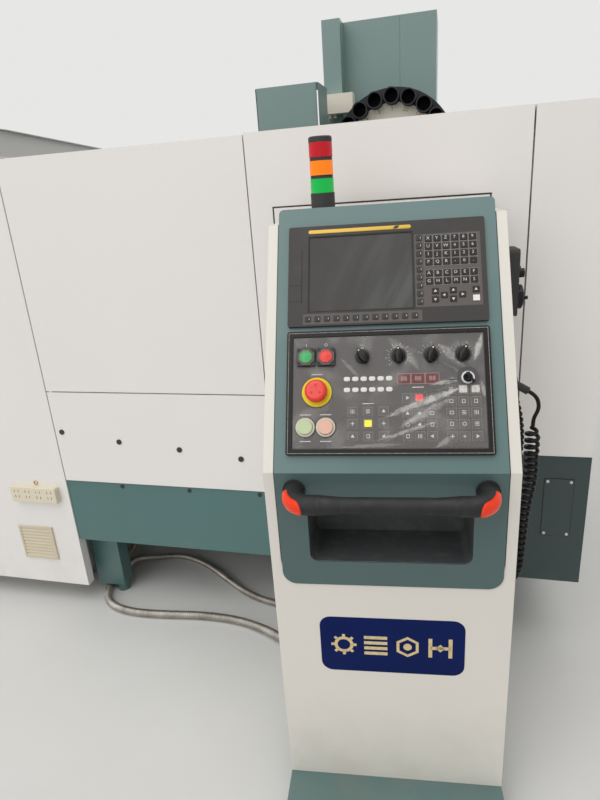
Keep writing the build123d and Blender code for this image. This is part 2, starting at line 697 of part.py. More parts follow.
with BuildPart() as saddle:
    box_between(
        (COLUMN_LEFT, column_right), (SADDLE_FRONT, saddle_back), (SADDLE_BOTTOM, SADDLE_TOP)
    )
    with BuildSketch(level(SADDLE_BOTTOM)):
        with Locations((column_mid, (SADDLE_FRONT + saddle_back) / 2)):
            with GridLocations(260, 300, 3, 3):
                Rectangle(210, 250)
    extrude(amount=SADDLE_TOP - SADDLE_BOTTOM - 30, mode=Mode.SUBTRACT)
    for y in (X_RAIL_FRONT, X_RAIL_REAR):
        rail_blocks(
            [across(COLUMN_LEFT), across(column_right - BLOCK_LENGTH)], (y, BED_TOP),
            X_RAIL_SIZE, (BED_TOP + 12, SADDLE_BOTTOM), BLOCK_LENGTH,
        )
    for x in (column_mid - Y_RAIL_SPREAD, column_mid + Y_RAIL_SPREAD):
        rail = rail_section(upright(saddle_back - 10), (x, SADDLE_TOP), Y_RAIL_SIZE)
        extrude(rail, amount=SADDLE_DEPTH - 20)
write(saddle, "saddle")

# Column: a tapered casting with cored sides, the rails of the head on its front
column_back = COLUMN_FRONT + COLUMN_DEPTH
Z_RAIL_XS = [SPINDLE_X - 90.0, SPINDLE_X + 90.0]
with BuildPart() as column:
    prism(
        across(COLUMN_LEFT),
        [(COLUMN_FRONT, COLUMN_BOTTOM), (COLUMN_FRONT, COLUMN_TOP),
         (column_back - 60, COLUMN_TOP), (column_back, COLUMN_BOTTOM + 260),
         (column_back, COLUMN_BOTTOM)],
        COLUMN_WIDTH,
    )
    with BuildSketch(across(COLUMN_LEFT)):
        with Locations((COLUMN_FRONT + 205, COLUMN_BOTTOM + 210),
                       (COLUMN_FRONT + 195, COLUMN_BOTTOM + 580)):
            RectangleRounded(230, 280, 50)
    extrude(amount=COLUMN_WIDTH, mode=Mode.SUBTRACT)
    for x in (column_mid - Y_RAIL_SPREAD, column_mid + Y_RAIL_SPREAD):
        rail_blocks(
            [upright(COLUMN_FRONT + 10 + BLOCK_LENGTH), upright(column_back - 10)],
            (x, SADDLE_TOP), Y_RAIL_SIZE, (SADDLE_TOP + 11, COLUMN_BOTTOM), BLOCK_LENGTH,
        )
    for x in Z_RAIL_XS:
        plane = Plane(
            origin=(x, FRONT + COLUMN_FRONT, Z_RAIL_BOTTOM), x_dir=(1, 0, 0), z_dir=(0, 0, 1)
        )
        rail = rail_section(plane.rotated((0, 0, 180)), (0, 0), Z_RAIL_SIZE)
        extrude(rail, amount=COLUMN_TOP - 10 - Z_RAIL_BOTTOM)
write(column, "column")

# Sheet cover on the column's top, with a narrow strip that stands forward
with BuildPart() as tower_cover:
    strip_front = COLUMN_FRONT
    main_front = COLUMN_FRONT + TOWER_SETBACK
    plan_points = [
        (TOWER_LEFT, strip_front), (TOWER_LEFT + TOWER_STRIP, strip_front),
        (TOWER_LEFT + TOWER_STRIP, main_front), (TOWER_RIGHT, main_front),
        (TOWER_RIGHT, column_back - 80), (TOWER_LEFT, column_back - 80),
    ]
    prism(level(COLUMN_TOP), plan_points, TOWER_TOP - COLUMN_TOP)
    with BuildSketch(level(COLUMN_TOP)) as inside:
        with BuildLine():
            Polyline(*plan_points, close=True)
        make_face()
        offset(amount=-SHEET, kind=Kind.INTERSECTION)
    extrude(inside.sketch, amount=TOWER_TOP - COLUMN_TOP - SHEET, mode=Mode.SUBTRACT)
    seam_x = TOWER_LEFT + 377
    plates(
        upright(main_front), [(seam_x, (COLUMN_TOP + TOWER_TOP) / 2)], GROOVE / 2,
        TOWER_TOP - COLUMN_TOP, -1.2, mode=Mode.SUBTRACT,
    )
write(tower_cover, "tower_cover")

# Terminal box on the cover's forward strip
TERMINAL_X = (TOWER_LEFT + 14, TOWER_LEFT + 157)
TERMINAL_Z = (1759.0, 1849.0)
with BuildPart() as terminal_box:
    box_between(TERMINAL_X, (COLUMN_FRONT - 70, COLUMN_FRONT), TERMINAL_Z)
    fillet(terminal_box.edges().filter_by(Axis.Z), 6)
    rod(level(TERMINAL_Z[0]), [(TERMINAL_X[0] + 20, COLUMN_FRONT - 40),
                              (TERMINAL_X[0] + 44, COLUMN_FRONT - 40)], 9, -18)
write(terminal_box, "terminal_box")

# Magazine frame: bearing bracket behind the disc and the cam box of the changing arm
arm_x = (SPINDLE_X + DISC_X) / 2
ARM_REACH = (DISC_X - SPINDLE_X) / 2
CAM_BOTTOM = 1190.0
CAM_TOP = 1400.0
LINK_TOP = 1235.0
CAM_HALF = 61.5
with BuildPart() as magazine_frame:
    with BuildSketch(upright(COLUMN_FRONT)):
        with Locations((DISC_X, DISC_Z)):
            RectangleRounded(330, 280, 40)
    extrude(amount=35)
    rod(upright(COLUMN_FRONT - 35), [(DISC_X, DISC_Z)], 75, 40)
    rod(upright(COLUMN_FRONT - 75), [(DISC_X, DISC_Z)], HUB_RADIUS + RUNNING_FIT, -65,
        Mode.SUBTRACT)
    box_between(
        (arm_x - CAM_HALF, arm_x + CAM_HALF), (SPINDLE_Y - 60, SPINDLE_Y + 70),
        (CAM_BOTTOM, CAM_TOP),
    )
    box_between(
        (arm_x - CAM_HALF, arm_x + CAM_HALF), (SPINDLE_Y + 70, COLUMN_FRONT),
        (CAM_BOTTOM, LINK_TOP),
    )
    box_between(
        (arm_x - CAM_HALF, DISC_X + 160), (COLUMN_FRONT - 35, COLUMN_FRONT),
        (CAM_BOTTOM, DISC_Z - 100),
    )
    rod(level(CAM_BOTTOM), [(arm_x, SPINDLE_Y)], QUILL_RADIUS + RUNNING_FIT,
        CAM_TOP - CAM_BOTTOM - 12, Mode.SUBTRACT)
write(magazine_frame, "magazine_frame")

# Magazine disc with twenty tool pockets and its hub shaft
plate_y = 1610.0
with BuildPart() as magazine_disc:
    rod(upright(plate_y), [(DISC_X, DISC_Z)], DISC_RADIUS, 20)
    with BuildSketch(upright(POCKET_BACK)) as ring:
        with Locations((DISC_X, DISC_Z)):
            with PolarLocations(POCKET_PITCH, POCKETS):
                Circle(POCKET_OUTER)
    extrude(ring.sketch, amount=POCKET_BACK - POCKET_FRONT)
    with BuildSketch(upright(POCKET_FRONT)) as bores:
        with Locations((DISC_X, DISC_Z)):
            with PolarLocations(POCKET_PITCH, POCKETS):
                Circle(POCKET_BORE)
    extrude(bores.sketch, amount=-(POCKET_BACK - POCKET_FRONT - 10), mode=Mode.SUBTRACT)
    rod(upright(plate_y), [(DISC_X, DISC_Z)], 90, -50)
    rod(upright(plate_y + 50), [(DISC_X, DISC_Z)], HUB_RADIUS, -75)
write(magazine_disc, "magazine_disc")

# Number ring: a thin plate scalloped round the pockets
with BuildPart() as number_ring:
    rod(upright(plate_y - 20), [(DISC_X, DISC_Z)], 232, 6)
    rod(upright(plate_y - 20), [(DISC_X, DISC_Z)], 150, 6, Mode.SUBTRACT)
    with BuildSketch(upright(plate_y - 20)):
        with Locations((DISC_X, DISC_Z)):
            with PolarLocations(POCKET_PITCH, POCKETS):
                Circle(POCKET_OUTER + 1)
    extrude(amount=6, mode=Mode.SUBTRACT)
write(number_ring, "number_ring")

# Sliding quill of the changer and the double-ended arm on its spindle
with BuildPart() as arm_shaft:
    quill_bottom = ARM_BOTTOM + ARM_THICK + 0.3
    rod(level(quill_bottom), [(arm_x, SPINDLE_Y)], QUILL_RADIUS, CAM_TOP - 40 - quill_bottom)
    rod(level(quill_bottom), [(arm_x, SPINDLE_Y)], ARM_SHAFT + RUNNING_FIT, 130, Mode.SUBTRACT)
write(arm_shaft, "arm_shaft")

JAW_OUTER = 48.0
with BuildPart() as change_arm:
    with BuildSketch(level(ARM_BOTTOM)):
        with Locations((arm_x, SPINDLE_Y)):
            Rectangle(56, ARM_REACH * 2 - 40)
            Circle(44)
        for side in (-1, 1):
            with Locations((arm_x, SPINDLE_Y + side * ARM_REACH)):
                Circle(JAW_OUTER)
    extrude(amount=ARM_THICK)
    with BuildSketch(level(ARM_BOTTOM)):
        for side in (-1, 1):
            with Locations((arm_x, SPINDLE_Y + side * ARM_REACH)):
                Circle(POCKET_BORE + 0.2)
            with Locations((arm_x - side * JAW_OUTER / 2, SPINDLE_Y + side * ARM_REACH)):
                Rectangle(JAW_OUTER, 50)
    extrude(amount=ARM_THICK, mode=Mode.SUBTRACT)
    rod(level(ARM_BOTTOM + ARM_THICK), [(arm_x, SPINDLE_Y)], ARM_SHAFT, 120)
    rod(level(ARM_BOTTOM), [(arm_x, SPINDLE_Y)], 30, -10)
write(change_arm, "change_arm")

# Head casting on the column's rails, bored for the spindle
head_left = SPINDLE_X - HEAD_WIDTH / 2
head_back = COLUMN_FRONT - Z_RAIL_SIZE - 18
HEAD_NOSE = 95.0
nose_bottom = SPINDLE_FACE + 10
with BuildPart() as head:
    box_between((head_left, head_left + HEAD_WIDTH), (HEAD_FRONT, head_back),
                (HEAD_BOTTOM, HEAD_TOP))
    fillet(head.edges().filter_by(Axis.Z).group_by(Axis.Y)[0], 25)
    rod(level(nose_bottom), [(SPINDLE_X, SPINDLE_Y)], HEAD_NOSE, HEAD_BOTTOM - nose_bottom)
    for x in Z_RAIL_XS:
        for low in (HEAD_BOTTOM + 10, HEAD_TOP - 120):
            plane = Plane(
                origin=(x, FRONT + COLUMN_FRONT, low), x_dir=(-1, 0, 0), z_dir=(0, 0, 1)
            )
            seat = COLUMN_FRONT - head_back
            plates(plane, [(0, (10 + seat) / 2)], 56, seat - 10, 110)
            slot = rail_section(plane, (0, 0), Z_RAIL_SIZE, RAIL_RUN)
            extrude(slot, amount=110, mode=Mode.SUBTRACT)
    rod(level(nose_bottom), [(SPINDLE_X, SPINDLE_Y)], SPINDLE_SHAFT + RUNNING_FIT, 380,
        Mode.SUBTRACT)
write(head, "head")

# Sheet cover round the head's upper half
COVER_X = (44.0, 340.0)
COVER_Y = (1290.0, 1490.0)
COVER_Z = (1420.0, 1850.0)
with BuildPart() as head_cover:
    box_between(COVER_X, COVER_Y, COVER_Z)
    fillet(head_cover.edges().filter_by(Axis.Z).group_by(Axis.Y)[0], 18)
    inner_x = (COVER_X[0] + SHEET, COVER_X[1] - SHEET)
    box_between(inner_x, (COVER_Y[0] + SHEET, COVER_Y[1]), (COVER_Z[0], COVER_Z[1] - SHEET),
                Mode.SUBTRACT)
    for x0, x1 in ((inner_x[0], head_left), (head_left + HEAD_WIDTH, inner_x[1])):
        box_between((x0, x1), (COVER_Y[1] - 40, COVER_Y[1] - 36), (COVER_Z[0], HEAD_TOP))
write(head_cover, "head_cover")

# Spindle: flange, shaft and the taper that takes a tool holder
TAPER_MOUTH = 22.2
TAPER_DEPTH = 65.0
with BuildPart() as spindle:
    with BuildSketch(Plane(origin=(SPINDLE_X, FRONT + SPINDLE_Y, SPINDLE_FACE),
                           x_dir=(1, 0, 0), z_dir=(0, -1, 0))):
        with BuildLine():
            Polyline(
                (TAPER_MOUTH, 0), (64, 0), (64, 9.7), (SPINDLE_SHAFT, 9.7),
                (SPINDLE_SHAFT, 370), (0, 370), (0, TAPER_DEPTH + 40), (9, TAPER_DEPTH + 40),
                (9, TAPER_DEPTH), (TAPER_MOUTH - TAPER_DEPTH * 3.5 / 24, TAPER_DEPTH),
                close=True,
            )
        make_face()
    revolve(axis=Axis((SPINDLE_X, FRONT + SPINDLE_Y, 0), (0, 0, 1)))
write(spindle, "spindle")

# Console body: a side profile of the slanted desk, narrower at its crown, with the tray's recess
GLAND_YC = 120.0
GLAND_Z = 1019.2
LEAD_START = (274.0, GLAND_YC, 1001.0)
with BuildPart() as console_body:
    start_yc, start_z = SHEET, slant(SHEET * math.tan(math.radians(SLANT / 2)), SHEET)[1]
    lean_run = math.tan(math.radians(SLANT))
    strip_yc = start_yc + (STRIP_TOP - start_z) * lean_run
    crown_yc = start_yc + (CROWN_TOP - start_z) * lean_run
    prism(
        console_side(-CONSOLE_HALF),
        [(start_yc, FOOT_HEIGHT), (start_yc, start_z), (strip_yc, STRIP_TOP),
         (CONSOLE_DEPTH, STRIP_TOP), (CONSOLE_DEPTH, FOOT_HEIGHT)],
        2 * CONSOLE_HALF,
    )
    crown_half = FASCIA_HALF - 4
    prism(
        console_side(-crown_half),
        [(strip_yc, STRIP_TOP), (crown_yc, CROWN_TOP), (CONSOLE_DEPTH, CROWN_TOP),
         (CONSOLE_DEPTH, STRIP_TOP)],
        2 * crown_half,
    )
    tray_mid = (TRAY_BOTTOM + TRAY_TOP) / 2
    with BuildSketch(console_front(SHEET)):
        with Locations((0, tray_mid)):
            RectangleRounded(2 * TRAY_HALF, TRAY_TOP - TRAY_BOTTOM, 18)
    extrude(amount=-TRAY_DEPTH, mode=Mode.SUBTRACT)
    plates(console_front(CONSOLE_DEPTH), [(0, 700)], 2 * CONSOLE_HALF - 60, GROOVE, -3,
           mode=Mode.SUBTRACT)
    rod(console_side(CONSOLE_HALF), [(GLAND_YC, GLAND_Z)], 12, 5)
    connector_root = CONSOLE.from_local_coords((CONSOLE_HALF - 3, GLAND_YC, GLAND_Z))
    connector_run = CONSOLE.from_local_coords(LEAD_START) - connector_root
    rod(Plane(origin=connector_root, z_dir=connector_run), [(0, 0)], 8, connector_run.length)
    hook_yc = PENDANT_FRONT + PENDANT_WIDTH / 2
    plates(
        console_side(CONSOLE_HALF), [(hook_yc, HOOK_Z)], HOOK_WIDTH, HOOK_HEIGHT,
        PENDANT_BACK - CONSOLE_HALF,
    )
write(console_body, "console_body")

# Fascia: one bent sheet with rounded corners and the tray's mouth
with BuildPart() as console_fascia:
    with BuildSketch(console_front(0)):
        with Locations((0, (FASCIA_BOTTOM + KNEE) / 2)):
            Rectangle(2 * FASCIA_HALF, KNEE - FASCIA_BOTTOM)
        low = [p for p in vertices().group_by(Axis.Y)[0]]
        fillet(low, 30)
        with Locations((0, tray_mid)):
            RectangleRounded(2 * TRAY_HALF, TRAY_TOP - TRAY_BOTTOM, 18, mode=Mode.SUBTRACT)
    extrude(amount=-SHEET)
    face_top = SLANT_LENGTH - FACE_CENTRE
    with BuildSketch(face()):
        with Locations((0, (face_top - FACE_CENTRE) / 2)):
            Rectangle(2 * FASCIA_HALF, SLANT_LENGTH)
        high = [p for p in vertices().group_by(Axis.Y)[-1]]
        fillet(high, 10)
    extrude(amount=-SHEET)
write(console_fascia, "console_fascia")

# Console foot: a low box that reaches forward, with the conduits' glands
with BuildPart() as console_foot:
    with BuildSketch(CONSOLE):
        with Locations((0, (FOOT_FRONT + CONSOLE_DEPTH) / 2)):
            Rectangle(2 * CONSOLE_HALF, CONSOLE_DEPTH - FOOT_FRONT)
    extrude(amount=FOOT_HEIGHT)
    chamfer(console_foot.edges().group_by(Axis.Z)[-1], 2)
    FOOT_GLAND_Z = 30.0
    FOOT_GLAND_A = 480.0
    FOOT_GLAND_B = -190.0
    for plane, place in (
        (console_side(5 - CONSOLE_HALF), (FOOT_GLAND_A, FOOT_GLAND_Z)),
        (console_front(CONSOLE_DEPTH - 5), (FOOT_GLAND_B, FOOT_GLAND_Z)),
    ):
        with BuildSketch(plane) as nut:
            with Locations(place):
                RegularPolygon(20, 6)
        extrude(nut.sketch, amount=-25)
write(console_foot, "console_foot")

# Display bezel with its keys, and the screen in its recess
SCREEN_U = (-156.0, 55.0)
SCREEN_V = (-78.0, 85.0)
screen_mid = ((SCREEN_U[0] + SCREEN_U[1]) / 2, (SCREEN_V[0] + SCREEN_V[1]) / 2)
screen_width = SCREEN_U[1] - SCREEN_U[0]
screen_height = SCREEN_V[1] - SCREEN_V[0]
KEY_RISE = 1.6
with BuildPart() as display_bezel:
    plates(face(), [(0, 0)], 2 * DISPLAY_HALF_U, 2 * DISPLAY_HALF_V, DISPLAY_THICK, 4)
    plates(face(DISPLAY_THICK), [screen_mid], screen_width, screen_height, -4,
           mode=Mode.SUBTRACT)
    soft_keys = [(-158 + n * 19.6, -95) for n in range(12)]
    side_keys = [(69, 69.8 - n * 17.1) for n in range(9)]
    plates(face(DISPLAY_THICK), soft_keys, 12, 9, KEY_RISE)
    plates(face(DISPLAY_THICK), side_keys, 9, 9, KEY_RISE)
    letter_keys = [
        (88 + c * 17.5, v) for v in (67, 50, 33, 16, -8, -25) for c in range(6)
    ]
    plates(face(DISPLAY_THICK), letter_keys, 14, 13, KEY_RISE)
    arrow_keys = [(98.8, -46), (98.5, -63.4), (116.1, -55), (133.6, -45.5), (133.5, -63.4),
                  (151.2, -55), (177.5, -45.5), (177.5, -63.4)]
    plates(face(DISPLAY_THICK), arrow_keys, 13, 12, KEY_RISE)
write(display_bezel, "display_bezel")

with BuildPart() as screen:
    plates(face(DISPLAY_THICK - 4), [screen_mid], screen_width, screen_height, 2)
write(screen, "screen")

# Operator panel: frame, plate, membrane keys and lamps, bored for every control
panel_mid = (PANEL_TOP_V + PANEL_BOTTOM_V) / 2
panel_height = PANEL_TOP_V - PANEL_BOTTOM_V
GREEN = (-160.4, -176.0)
RED = (-120.3, -176.0)
ESTOP = (-138.4, -247.8)
CYCLE = (-161.0, -318.5)
HOLD = (-120.4, -318.5)
KNOBS = [(-47.4, -177.0), (23.6, -177.0), (86.9, -177.0), (147.3, -177.0)]
KEY_SWITCH = (154.8, -223.6)
SQUARE_CAP = 26.0
ROUND_CAP = 15.0
RING_RISE = 5.0
KNOB_SHAFT = 4.0
HOLE_DEPTH = 5.0
with BuildPart() as operator_panel:
    plates(face(), [(0, panel_mid)], 2 * DISPLAY_HALF_U, panel_height, FRAME_THICK, 5)
    plates(face(PLATE_THICK), [(0, panel_mid)], 2 * DISPLAY_HALF_U - 24, panel_height - 24,
           FRAME_THICK - PLATE_THICK, 3, Mode.SUBTRACT)
    lamps = [(-78.4 + c * 16.6, v) for c in range(6) for v in (-222, -244)]
    with BuildSketch(face(PLATE_THICK)) as lamp_shapes:
        with Locations(*lamps):
            SlotOverall(11, 5)
    extrude(lamp_shapes.sketch, amount=1.2)
    plates(face(PLATE_THICK), [(33 + n * 27.3, -224) for n in range(3)], 25, 20, 1.5)
    key_places = [(u, v) for u in (-67.7, -37.4, -7.1) for v in (-287.5, -311.5, -336.7)]
    key_places += [(u, v) for u in (38.8, 61.5, 85.0) for v in (-262, -292.8, -314.8, -337.2)]
    key_places += [(u, v) for u in (122, 145, 168) for v in (-246.6, -270, -292, -314, -338)]
    plates(face(PLATE_THICK), key_places, 17, 16, 1)
    plates(face(PLATE_THICK), [GREEN, RED], SQUARE_CAP + 11, SQUARE_CAP + 11, RING_RISE, 3)
    rod(face(PLATE_THICK), [CYCLE, HOLD], ROUND_CAP + 4, RING_RISE)
    rod(face(PLATE_THICK), [ESTOP], 30, 3)
    bottom = PLATE_THICK - HOLE_DEPTH
    well = RING_RISE + HOLE_DEPTH
    plates(face(bottom), [GREEN, RED], SQUARE_CAP + 2 * BUTTON_GAP,
           SQUARE_CAP + 2 * BUTTON_GAP, well, mode=Mode.SUBTRACT)
    rod(face(bottom), [CYCLE, HOLD], ROUND_CAP + BUTTON_GAP, well, Mode.SUBTRACT)
    rod(face(bottom), [ESTOP], 12 + BUTTON_GAP, well, Mode.SUBTRACT)
    rod(face(bottom), KNOBS + [KEY_SWITCH], KNOB_SHAFT + RUNNING_FIT, well, Mode.SUBTRACT)
write(operator_panel, "operator_panel")

# Push buttons, each free to sink into its ring
button_seat = PLATE_THICK - HOLE_DEPTH + STROKE + 0.4
button_height = PLATE_THICK + RING_RISE + 5 - button_seat
for place, name in ((GREEN, "start_button"), (RED, "stop_button")):
    with BuildPart() as button:
        plates(face(button_seat), [place], SQUARE_CAP, SQUARE_CAP, button_height)
        chamfer(button.faces().sort_by(Axis.Z)[-1].edges(), 1.2)
    write(button, name)
for place, name in ((CYCLE, "cycle_button"), (HOLD, "hold_button")):
    with BuildPart() as button:
        rod(face(button_seat), [place], ROUND_CAP, button_height)
        chamfer(button.faces().sort_by(Axis.Z)[-1].edges(), 1.2)
    write(button, name)

# Emergency stop: a turned mushroom on a stem
MUSHROOM = 22.5
with BuildPart() as emergency_stop:
    rod(face(button_seat), [ESTOP], 12, 13)
    rod(face(button_seat + 11), [ESTOP], MUSHROOM, 14)
    rims = emergency_stop.edges().filter_by(GeomType.CIRCLE)
    rims = rims.filter_by(lambda edge: abs(edge.radius - MUSHROOM) < 0.1).sort_by(Axis.Z)
    fillet(rims[-1], 8)
    chamfer(rims[0], 2)
write(emergency_stop, "emergency_stop")

# Rotary selectors: a round skirt, a pointer wing and a shaft in the panel
KNOB_TURNS = [125.0, 92.0, 75.0, 68.0]
for n, place in enumerate(KNOBS):
    with BuildPart() as knob:
        rod(face(PLATE_THICK + 0.3), [place], 14, 5)
        with BuildSketch(face(PLATE_THICK + 5.3)):
            with Locations(Location(place, KNOB_TURNS[n])):
                SlotOverall(30, 9)
        extrude(amount=12)
        rod(face(PLATE_THICK - HOLE_DEPTH + 0.5), [place], KNOB_SHAFT, HOLE_DEPTH)
    write(knob, f"selector_knob_{n + 1}")
with BuildPart() as key_switch:
    rod(face(PLATE_THICK + 0.3), [KEY_SWITCH], 9, 4)
    plates(face(PLATE_THICK + 4.3), [KEY_SWITCH], 3, 14, 16)
    rod(face(PLATE_THICK - HOLE_DEPTH + 0.5), [KEY_SWITCH], KNOB_SHAFT, HOLE_DEPTH)
write(key_switch, "key_switch")

# Stack light: base with its separating rings and cap, and three lenses between them
LENS_HEIGHT = 29.0
RING_HEIGHT = 7.0
BEACON_BASE = 32.0
beacon_low = CROWN_TOP
with BuildPart() as beacon_base:
    place = [(BEACON_XC, BEACON_YC)]
    rod(console_level(beacon_low), place, BEACON_RADIUS + 1, BEACON_BASE)
    pitch = LENS_HEIGHT + RING_HEIGHT
    for n in (1, 2):
        low = beacon_low + BEACON_BASE + n * pitch - RING_HEIGHT
        rod(console_level(low), place, BEACON_RADIUS - 1, RING_HEIGHT)
    cap_low = beacon_low + BEACON_BASE + 3 * pitch - RING_HEIGHT
    rod(console_level(cap_low), place, BEACON_RADIUS, 12)
    fillet(beacon_base.faces().sort_by(Axis.Z)[-1].edges(), 4)
    rod(console_level(beacon_low), place, 6, cap_low - beacon_low)
write(beacon_base, "beacon_base")
for n, name in enumerate(("beacon_green", "beacon_amber", "beacon_red")):
    with BuildPart() as lens:
        low = beacon_low + BEACON_BASE + n * (LENS_HEIGHT + RING_HEIGHT)
        rod(console_level(low), place, BEACON_RADIUS, LENS_HEIGHT)
        rod(console_level(low), place, 6, LENS_HEIGHT, Mode.SUBTRACT)
    write(lens, name)

# Grab handle: a round bar with thicker elbows, and a glossy cap over each elbow's outer side
ELBOW_BEND = 38.0
handle_points = [
    (-HANDLE_HALF, 0), (-HANDLE_HALF, -HANDLE_REACH), (HANDLE_HALF, -HANDLE_REACH),
    (HANDLE_HALF, 0),
]


def elbow_sweep(side, radius, mode=Mode.ADD):
    """A round bar along one bent end of the handle."""
    with BuildLine(console_level(HANDLE_Z)) as path:
        FilletPolyline(
            (side * HANDLE_HALF, 0), (side * HANDLE_HALF, -HANDLE_REACH),
            (side * (HANDLE_HALF - 60), -HANDLE_REACH), radius=ELBOW_BEND,
        )
    with BuildSketch(console_front(0)) as section:
        with Locations((side * HANDLE_HALF, HANDLE_Z)):
            Circle(radius)
    sweep(section.sketch, path=path.wire(), mode=mode)


with BuildPart() as handle_bar:
    for side in (-1, 1):
        elbow_sweep(side, ELBOW_RADIUS)
        rod(console_front(0), [(side * HANDLE_HALF, HANDLE_Z)], ELBOW_RADIUS + 3, 6)
    with BuildSketch(console_side(-HANDLE_HALF + 50)) as bar:
        with Locations((-HANDLE_REACH, HANDLE_Z)):
            Circle(HANDLE_RADIUS)
    extrude(bar.sketch, amount=2 * HANDLE_HALF - 100)
write(handle_bar, "handle_bar")

CAP_WALL = 2.6
with BuildPart() as handle_caps:
    for side in (-1, 1):
        elbow_sweep(side, ELBOW_RADIUS + CAP_WALL)
        elbow_sweep(side, ELBOW_RADIUS, Mode.SUBTRACT)
    with BuildPart(mode=Mode.INTERSECT):
        for side in (-1, 1):
            diagonal = (CONSOLE.x_dir * side - CONSOLE.y_dir).normalized()
            along = (CONSOLE.x_dir * (-side) - CONSOLE.y_dir).normalized()
            corner = CONSOLE.from_local_coords(
                (side * (HANDLE_HALF - 11), -HANDLE_REACH + 11, HANDLE_Z)
            )
            drop = Plane(origin=corner, x_dir=along, z_dir=diagonal)
            height = 1 if drop.y_dir.Z > 0 else -1
            with BuildSketch(drop):
                with Locations((12, -3 * height)):
                    Circle(17)
                with Locations((-26, 14 * height)):
                    Circle(3)
                make_hull()
            extrude(amount=60)
write(handle_caps, "handle_caps")

# Hand pulse pendant: housing with its strain relief, wheel and two small knobs
pendant_mid = PENDANT_FRONT + PENDANT_WIDTH / 2
RELIEF_BOTTOM = 1070.0
RELIEF_XC = 268.0
WHEEL_Z = 1147.0
KNOB_Z = 1202.0
with BuildPart() as pendant_body:
    plates(
        console_side(PENDANT_BACK), [(pendant_mid, (PENDANT_BOTTOM + PENDANT_TOP) / 2)],
        PENDANT_WIDTH, PENDANT_TOP - PENDANT_BOTTOM, PENDANT_FACE - PENDANT_BACK, 9,
    )
    with BuildSketch(console_level(PENDANT_BOTTOM)) as wide:
        with Locations((RELIEF_XC, pendant_mid)):
            Circle(13)
    with BuildSketch(console_level(RELIEF_BOTTOM)) as narrow:
        with Locations((RELIEF_XC, pendant_mid)):
            Circle(5.5)
    loft([wide.sketch, narrow.sketch])
    wheel_place = (pendant_mid, WHEEL_Z)
    knob_places = [(pendant_mid - 19, KNOB_Z), (pendant_mid + 19, KNOB_Z)]
    rod(console_side(PENDANT_FACE), [wheel_place], 5 + RUNNING_FIT, -12, Mode.SUBTRACT)
    rod(console_side(PENDANT_FACE), knob_places, 3 + RUNNING_FIT, -12, Mode.SUBTRACT)
write(pendant_body, "pendant_body")

with BuildPart() as pendant_wheel:
    rod(console_side(PENDANT_FACE + 0.3), [wheel_place], 27, 15)
    chamfer(pendant_wheel.edges().sort_by(Axis.X)[-1], 2.5)
    rod(console_side(PENDANT_FACE - 10), [wheel_place], 5, 12)
    rod(console_side(PENDANT_FACE + 15), [(pendant_mid - 15, WHEEL_Z)], 4, 10)
write(pendant_wheel, "pendant_wheel")
for knob_place, name in zip(knob_places, ("axis_knob", "step_knob")):
    with BuildPart() as small_knob:
        rod(console_side(PENDANT_FACE + 0.3), [knob_place], 10, 13)
        rod(console_side(PENDANT_FACE - 10), [knob_place], 3, 12)
    write(small_knob, name)


def route_radii(points):
    """The largest arcs that a route's runs allow, one for each corner."""
    radii = []
    for before, here, after in zip(points, points[1:], points[2:]):
        first = Vector(*here) - Vector(*before)
        second = Vector(*after) - Vector(*here)
        half_turn = math.radians(first.get_angle(second)) / 2
        radii.append(0.45 * min(first.length, second.length) / math.tan(half_turn))
    return radii


def tube(points, diameter, name):
    """A cord's plain tube: straight runs joined by tangent arcs."""
    radii = route_radii(points)
    with BuildLine() as path:
        if radii:
            FilletPolyline(*points, radius=radii)
        else:
            Line(*points)
    start = Plane(origin=Vector(*points[0]), z_dir=Vector(*points[1]) - Vector(*points[0]))
    with BuildSketch(start) as section:
        Circle(diameter / 2)
    sweep(section.sketch, path=path.wire())
    print(name, "length", round(path.wire().length, 1), "radii", [round(r) for r in radii])
    return path.wire().length * math.pi * diameter**2 / 4


def console_point(xc, yc, z):
    """A point of the console's own frame in the part's frame."""
    return tuple(CONSOLE.from_local_coords((xc, yc, z)))


# Curly cord of the pendant: out of its connector, down in one coil, round and up to the pendant
lead_points = [
    LEAD_START, (288, 120, 992.5), (296, 120, 978), (297, 119, 961), (288, 118, 944),
    (288, 118, 926),
]
coil_points = [
    (288, 118, 926), (288, 118, 870), (291, 119, 808), (280, 118, 746), (276, 117, 672),
    (273, 119, 590), (271, 160, 534), (270, 226, 512), (270, 292, 534), (273, 333, 590),
    (288, 335, 660), (304, 336, 728), (311, 337, 798), (303, 338, 868), (284, 339, 924),
    (RELIEF_XC, pendant_mid, 968), (RELIEF_XC, pendant_mid, 1012),
]
tail_points = [(RELIEF_XC, pendant_mid, 1012), (RELIEF_XC, pendant_mid, RELIEF_BOTTOM)]
with BuildPart() as pendant_cord:
    lead_volume = tube([console_point(*p) for p in lead_points], CORD_DIAMETER, "lead")
    tail_volume = tube([console_point(*p) for p in tail_points], CORD_DIAMETER, "tail")
print("cord volume", pendant_cord.part.volume / (lead_volume + tail_volume))
write(pendant_cord, "pendant_cord")
with BuildPart() as pendant_coil:
    coil_volume = tube([console_point(*p) for p in coil_points], COIL_DIAMETER, "coil")
print("coil volume", pendant_coil.part.volume / coil_volume)
write(pendant_coil, "pendant_coil")


def floor_point(x, y, z):
    """A point given from the guard's front plane in the part's frame."""
    return (x, FRONT + y, z)


